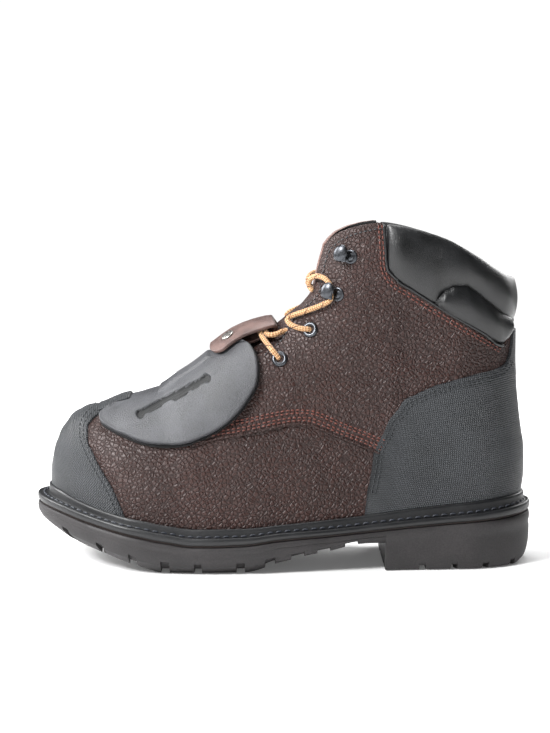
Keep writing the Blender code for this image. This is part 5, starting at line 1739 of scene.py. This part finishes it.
class BOOT_OT_laces(bpy.types.Operator):
    """Make the lace's crossings and its two free ends."""

    bl_idname = "boot.laces"
    bl_label = "Laces"

    def execute(self, context):
        make_laces()
        return {"FINISHED"}


class BOOT_OT_sole(bpy.types.Operator):
    """Make the outsole, the welt and the footbed."""

    bl_idname = "boot.sole"
    bl_label = "Sole and welt"

    def execute(self, context):
        make_outsole()
        make_welt()
        make_insole()
        return {"FINISHED"}


class BOOT_OT_upper(bpy.types.Operator):
    """Make the hollow leather upper."""

    bl_idname = "boot.upper"
    bl_label = "Leather upper"

    def execute(self, context):
        make_upper()
        return {"FINISHED"}


class BOOT_OT_overlays(bpy.types.Operator):
    """Make the toe cap with its lip, and the heel counter."""

    bl_idname = "boot.overlays"
    bl_label = "Toe cap and heel counter"

    def execute(self, context):
        make_toe_cap()
        make_cap_lip()
        make_heel_counter()
        return {"FINISHED"}


class BOOT_OT_tongue(bpy.types.Operator):
    """Make the padded tongue."""

    bl_idname = "boot.tongue"
    bl_label = "Tongue"

    def execute(self, context):
        make_tongue()
        return {"FINISHED"}


class BOOT_OT_collar(bpy.types.Operator):
    """Make the padded collar and the roll behind the heel."""

    bl_idname = "boot.collar"
    bl_label = "Collar"

    def execute(self, context):
        make_collar()
        return {"FINISHED"}


class BOOT_OT_guard(bpy.types.Operator):
    """Make the guard over the instep, its strap and the strap's rivet."""

    bl_idname = "boot.guard"
    bl_label = "Metatarsal guard"

    def execute(self, context):
        make_guard()
        make_rivet(make_strap())
        return {"FINISHED"}


class BOOT_OT_hardware(bpy.types.Operator):
    """Make the eyelets and the speed hooks."""

    bl_idname = "boot.hardware"
    bl_label = "Eyelets and hooks"

    def execute(self, context):
        make_hardware()
        return {"FINISHED"}


class BOOT_OT_seams(bpy.types.Operator):
    """Sew the stitched rows, and add the quarter's rolled edge and the collar's piping."""

    bl_idname = "boot.seams"
    bl_label = "Seams and stitching"

    def execute(self, context):
        names = ("upper_leather_shell", "toe_cap_shell", "heel_counter_shell", "welt_rubber_shell")
        make_seams(*[bpy.data.objects[name] for name in names])
        return {"FINISHED"}


OPERATORS = (
    BOOT_OT_stage, BOOT_OT_laces, BOOT_OT_sole, BOOT_OT_upper, BOOT_OT_overlays, BOOT_OT_tongue,
    BOOT_OT_collar,
    BOOT_OT_guard, BOOT_OT_hardware, BOOT_OT_seams,
)


class BOOT_PT_panel(bpy.types.Panel):
    """Lists the boot's settings and pieces."""

    bl_label = "Boot"
    bl_idname = "BOOT_PT_panel"
    bl_space_type = "VIEW_3D"
    bl_region_type = "UI"
    bl_category = "Boot"

    def draw(self, context):
        for name in BootSettings.__annotations__:
            self.layout.prop(context.scene.boot, name)
        for operator in OPERATORS:
            self.layout.operator(operator.bl_idname)


CLASSES = (BootSettings, *OPERATORS, BOOT_PT_panel)


def register():
    for item in CLASSES:
        bpy.utils.register_class(item)
    bpy.types.Scene.boot = PointerProperty(type=BootSettings)


def unregister():
    del bpy.types.Scene.boot
    for item in reversed(CLASSES):
        bpy.utils.unregister_class(item)


def main():
    """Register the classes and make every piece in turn."""
    register()
    for operator in OPERATORS:
        group, name = operator.bl_idname.split(".")
        getattr(getattr(bpy.ops, group), name)()


if __name__ == "__main__":
    main()
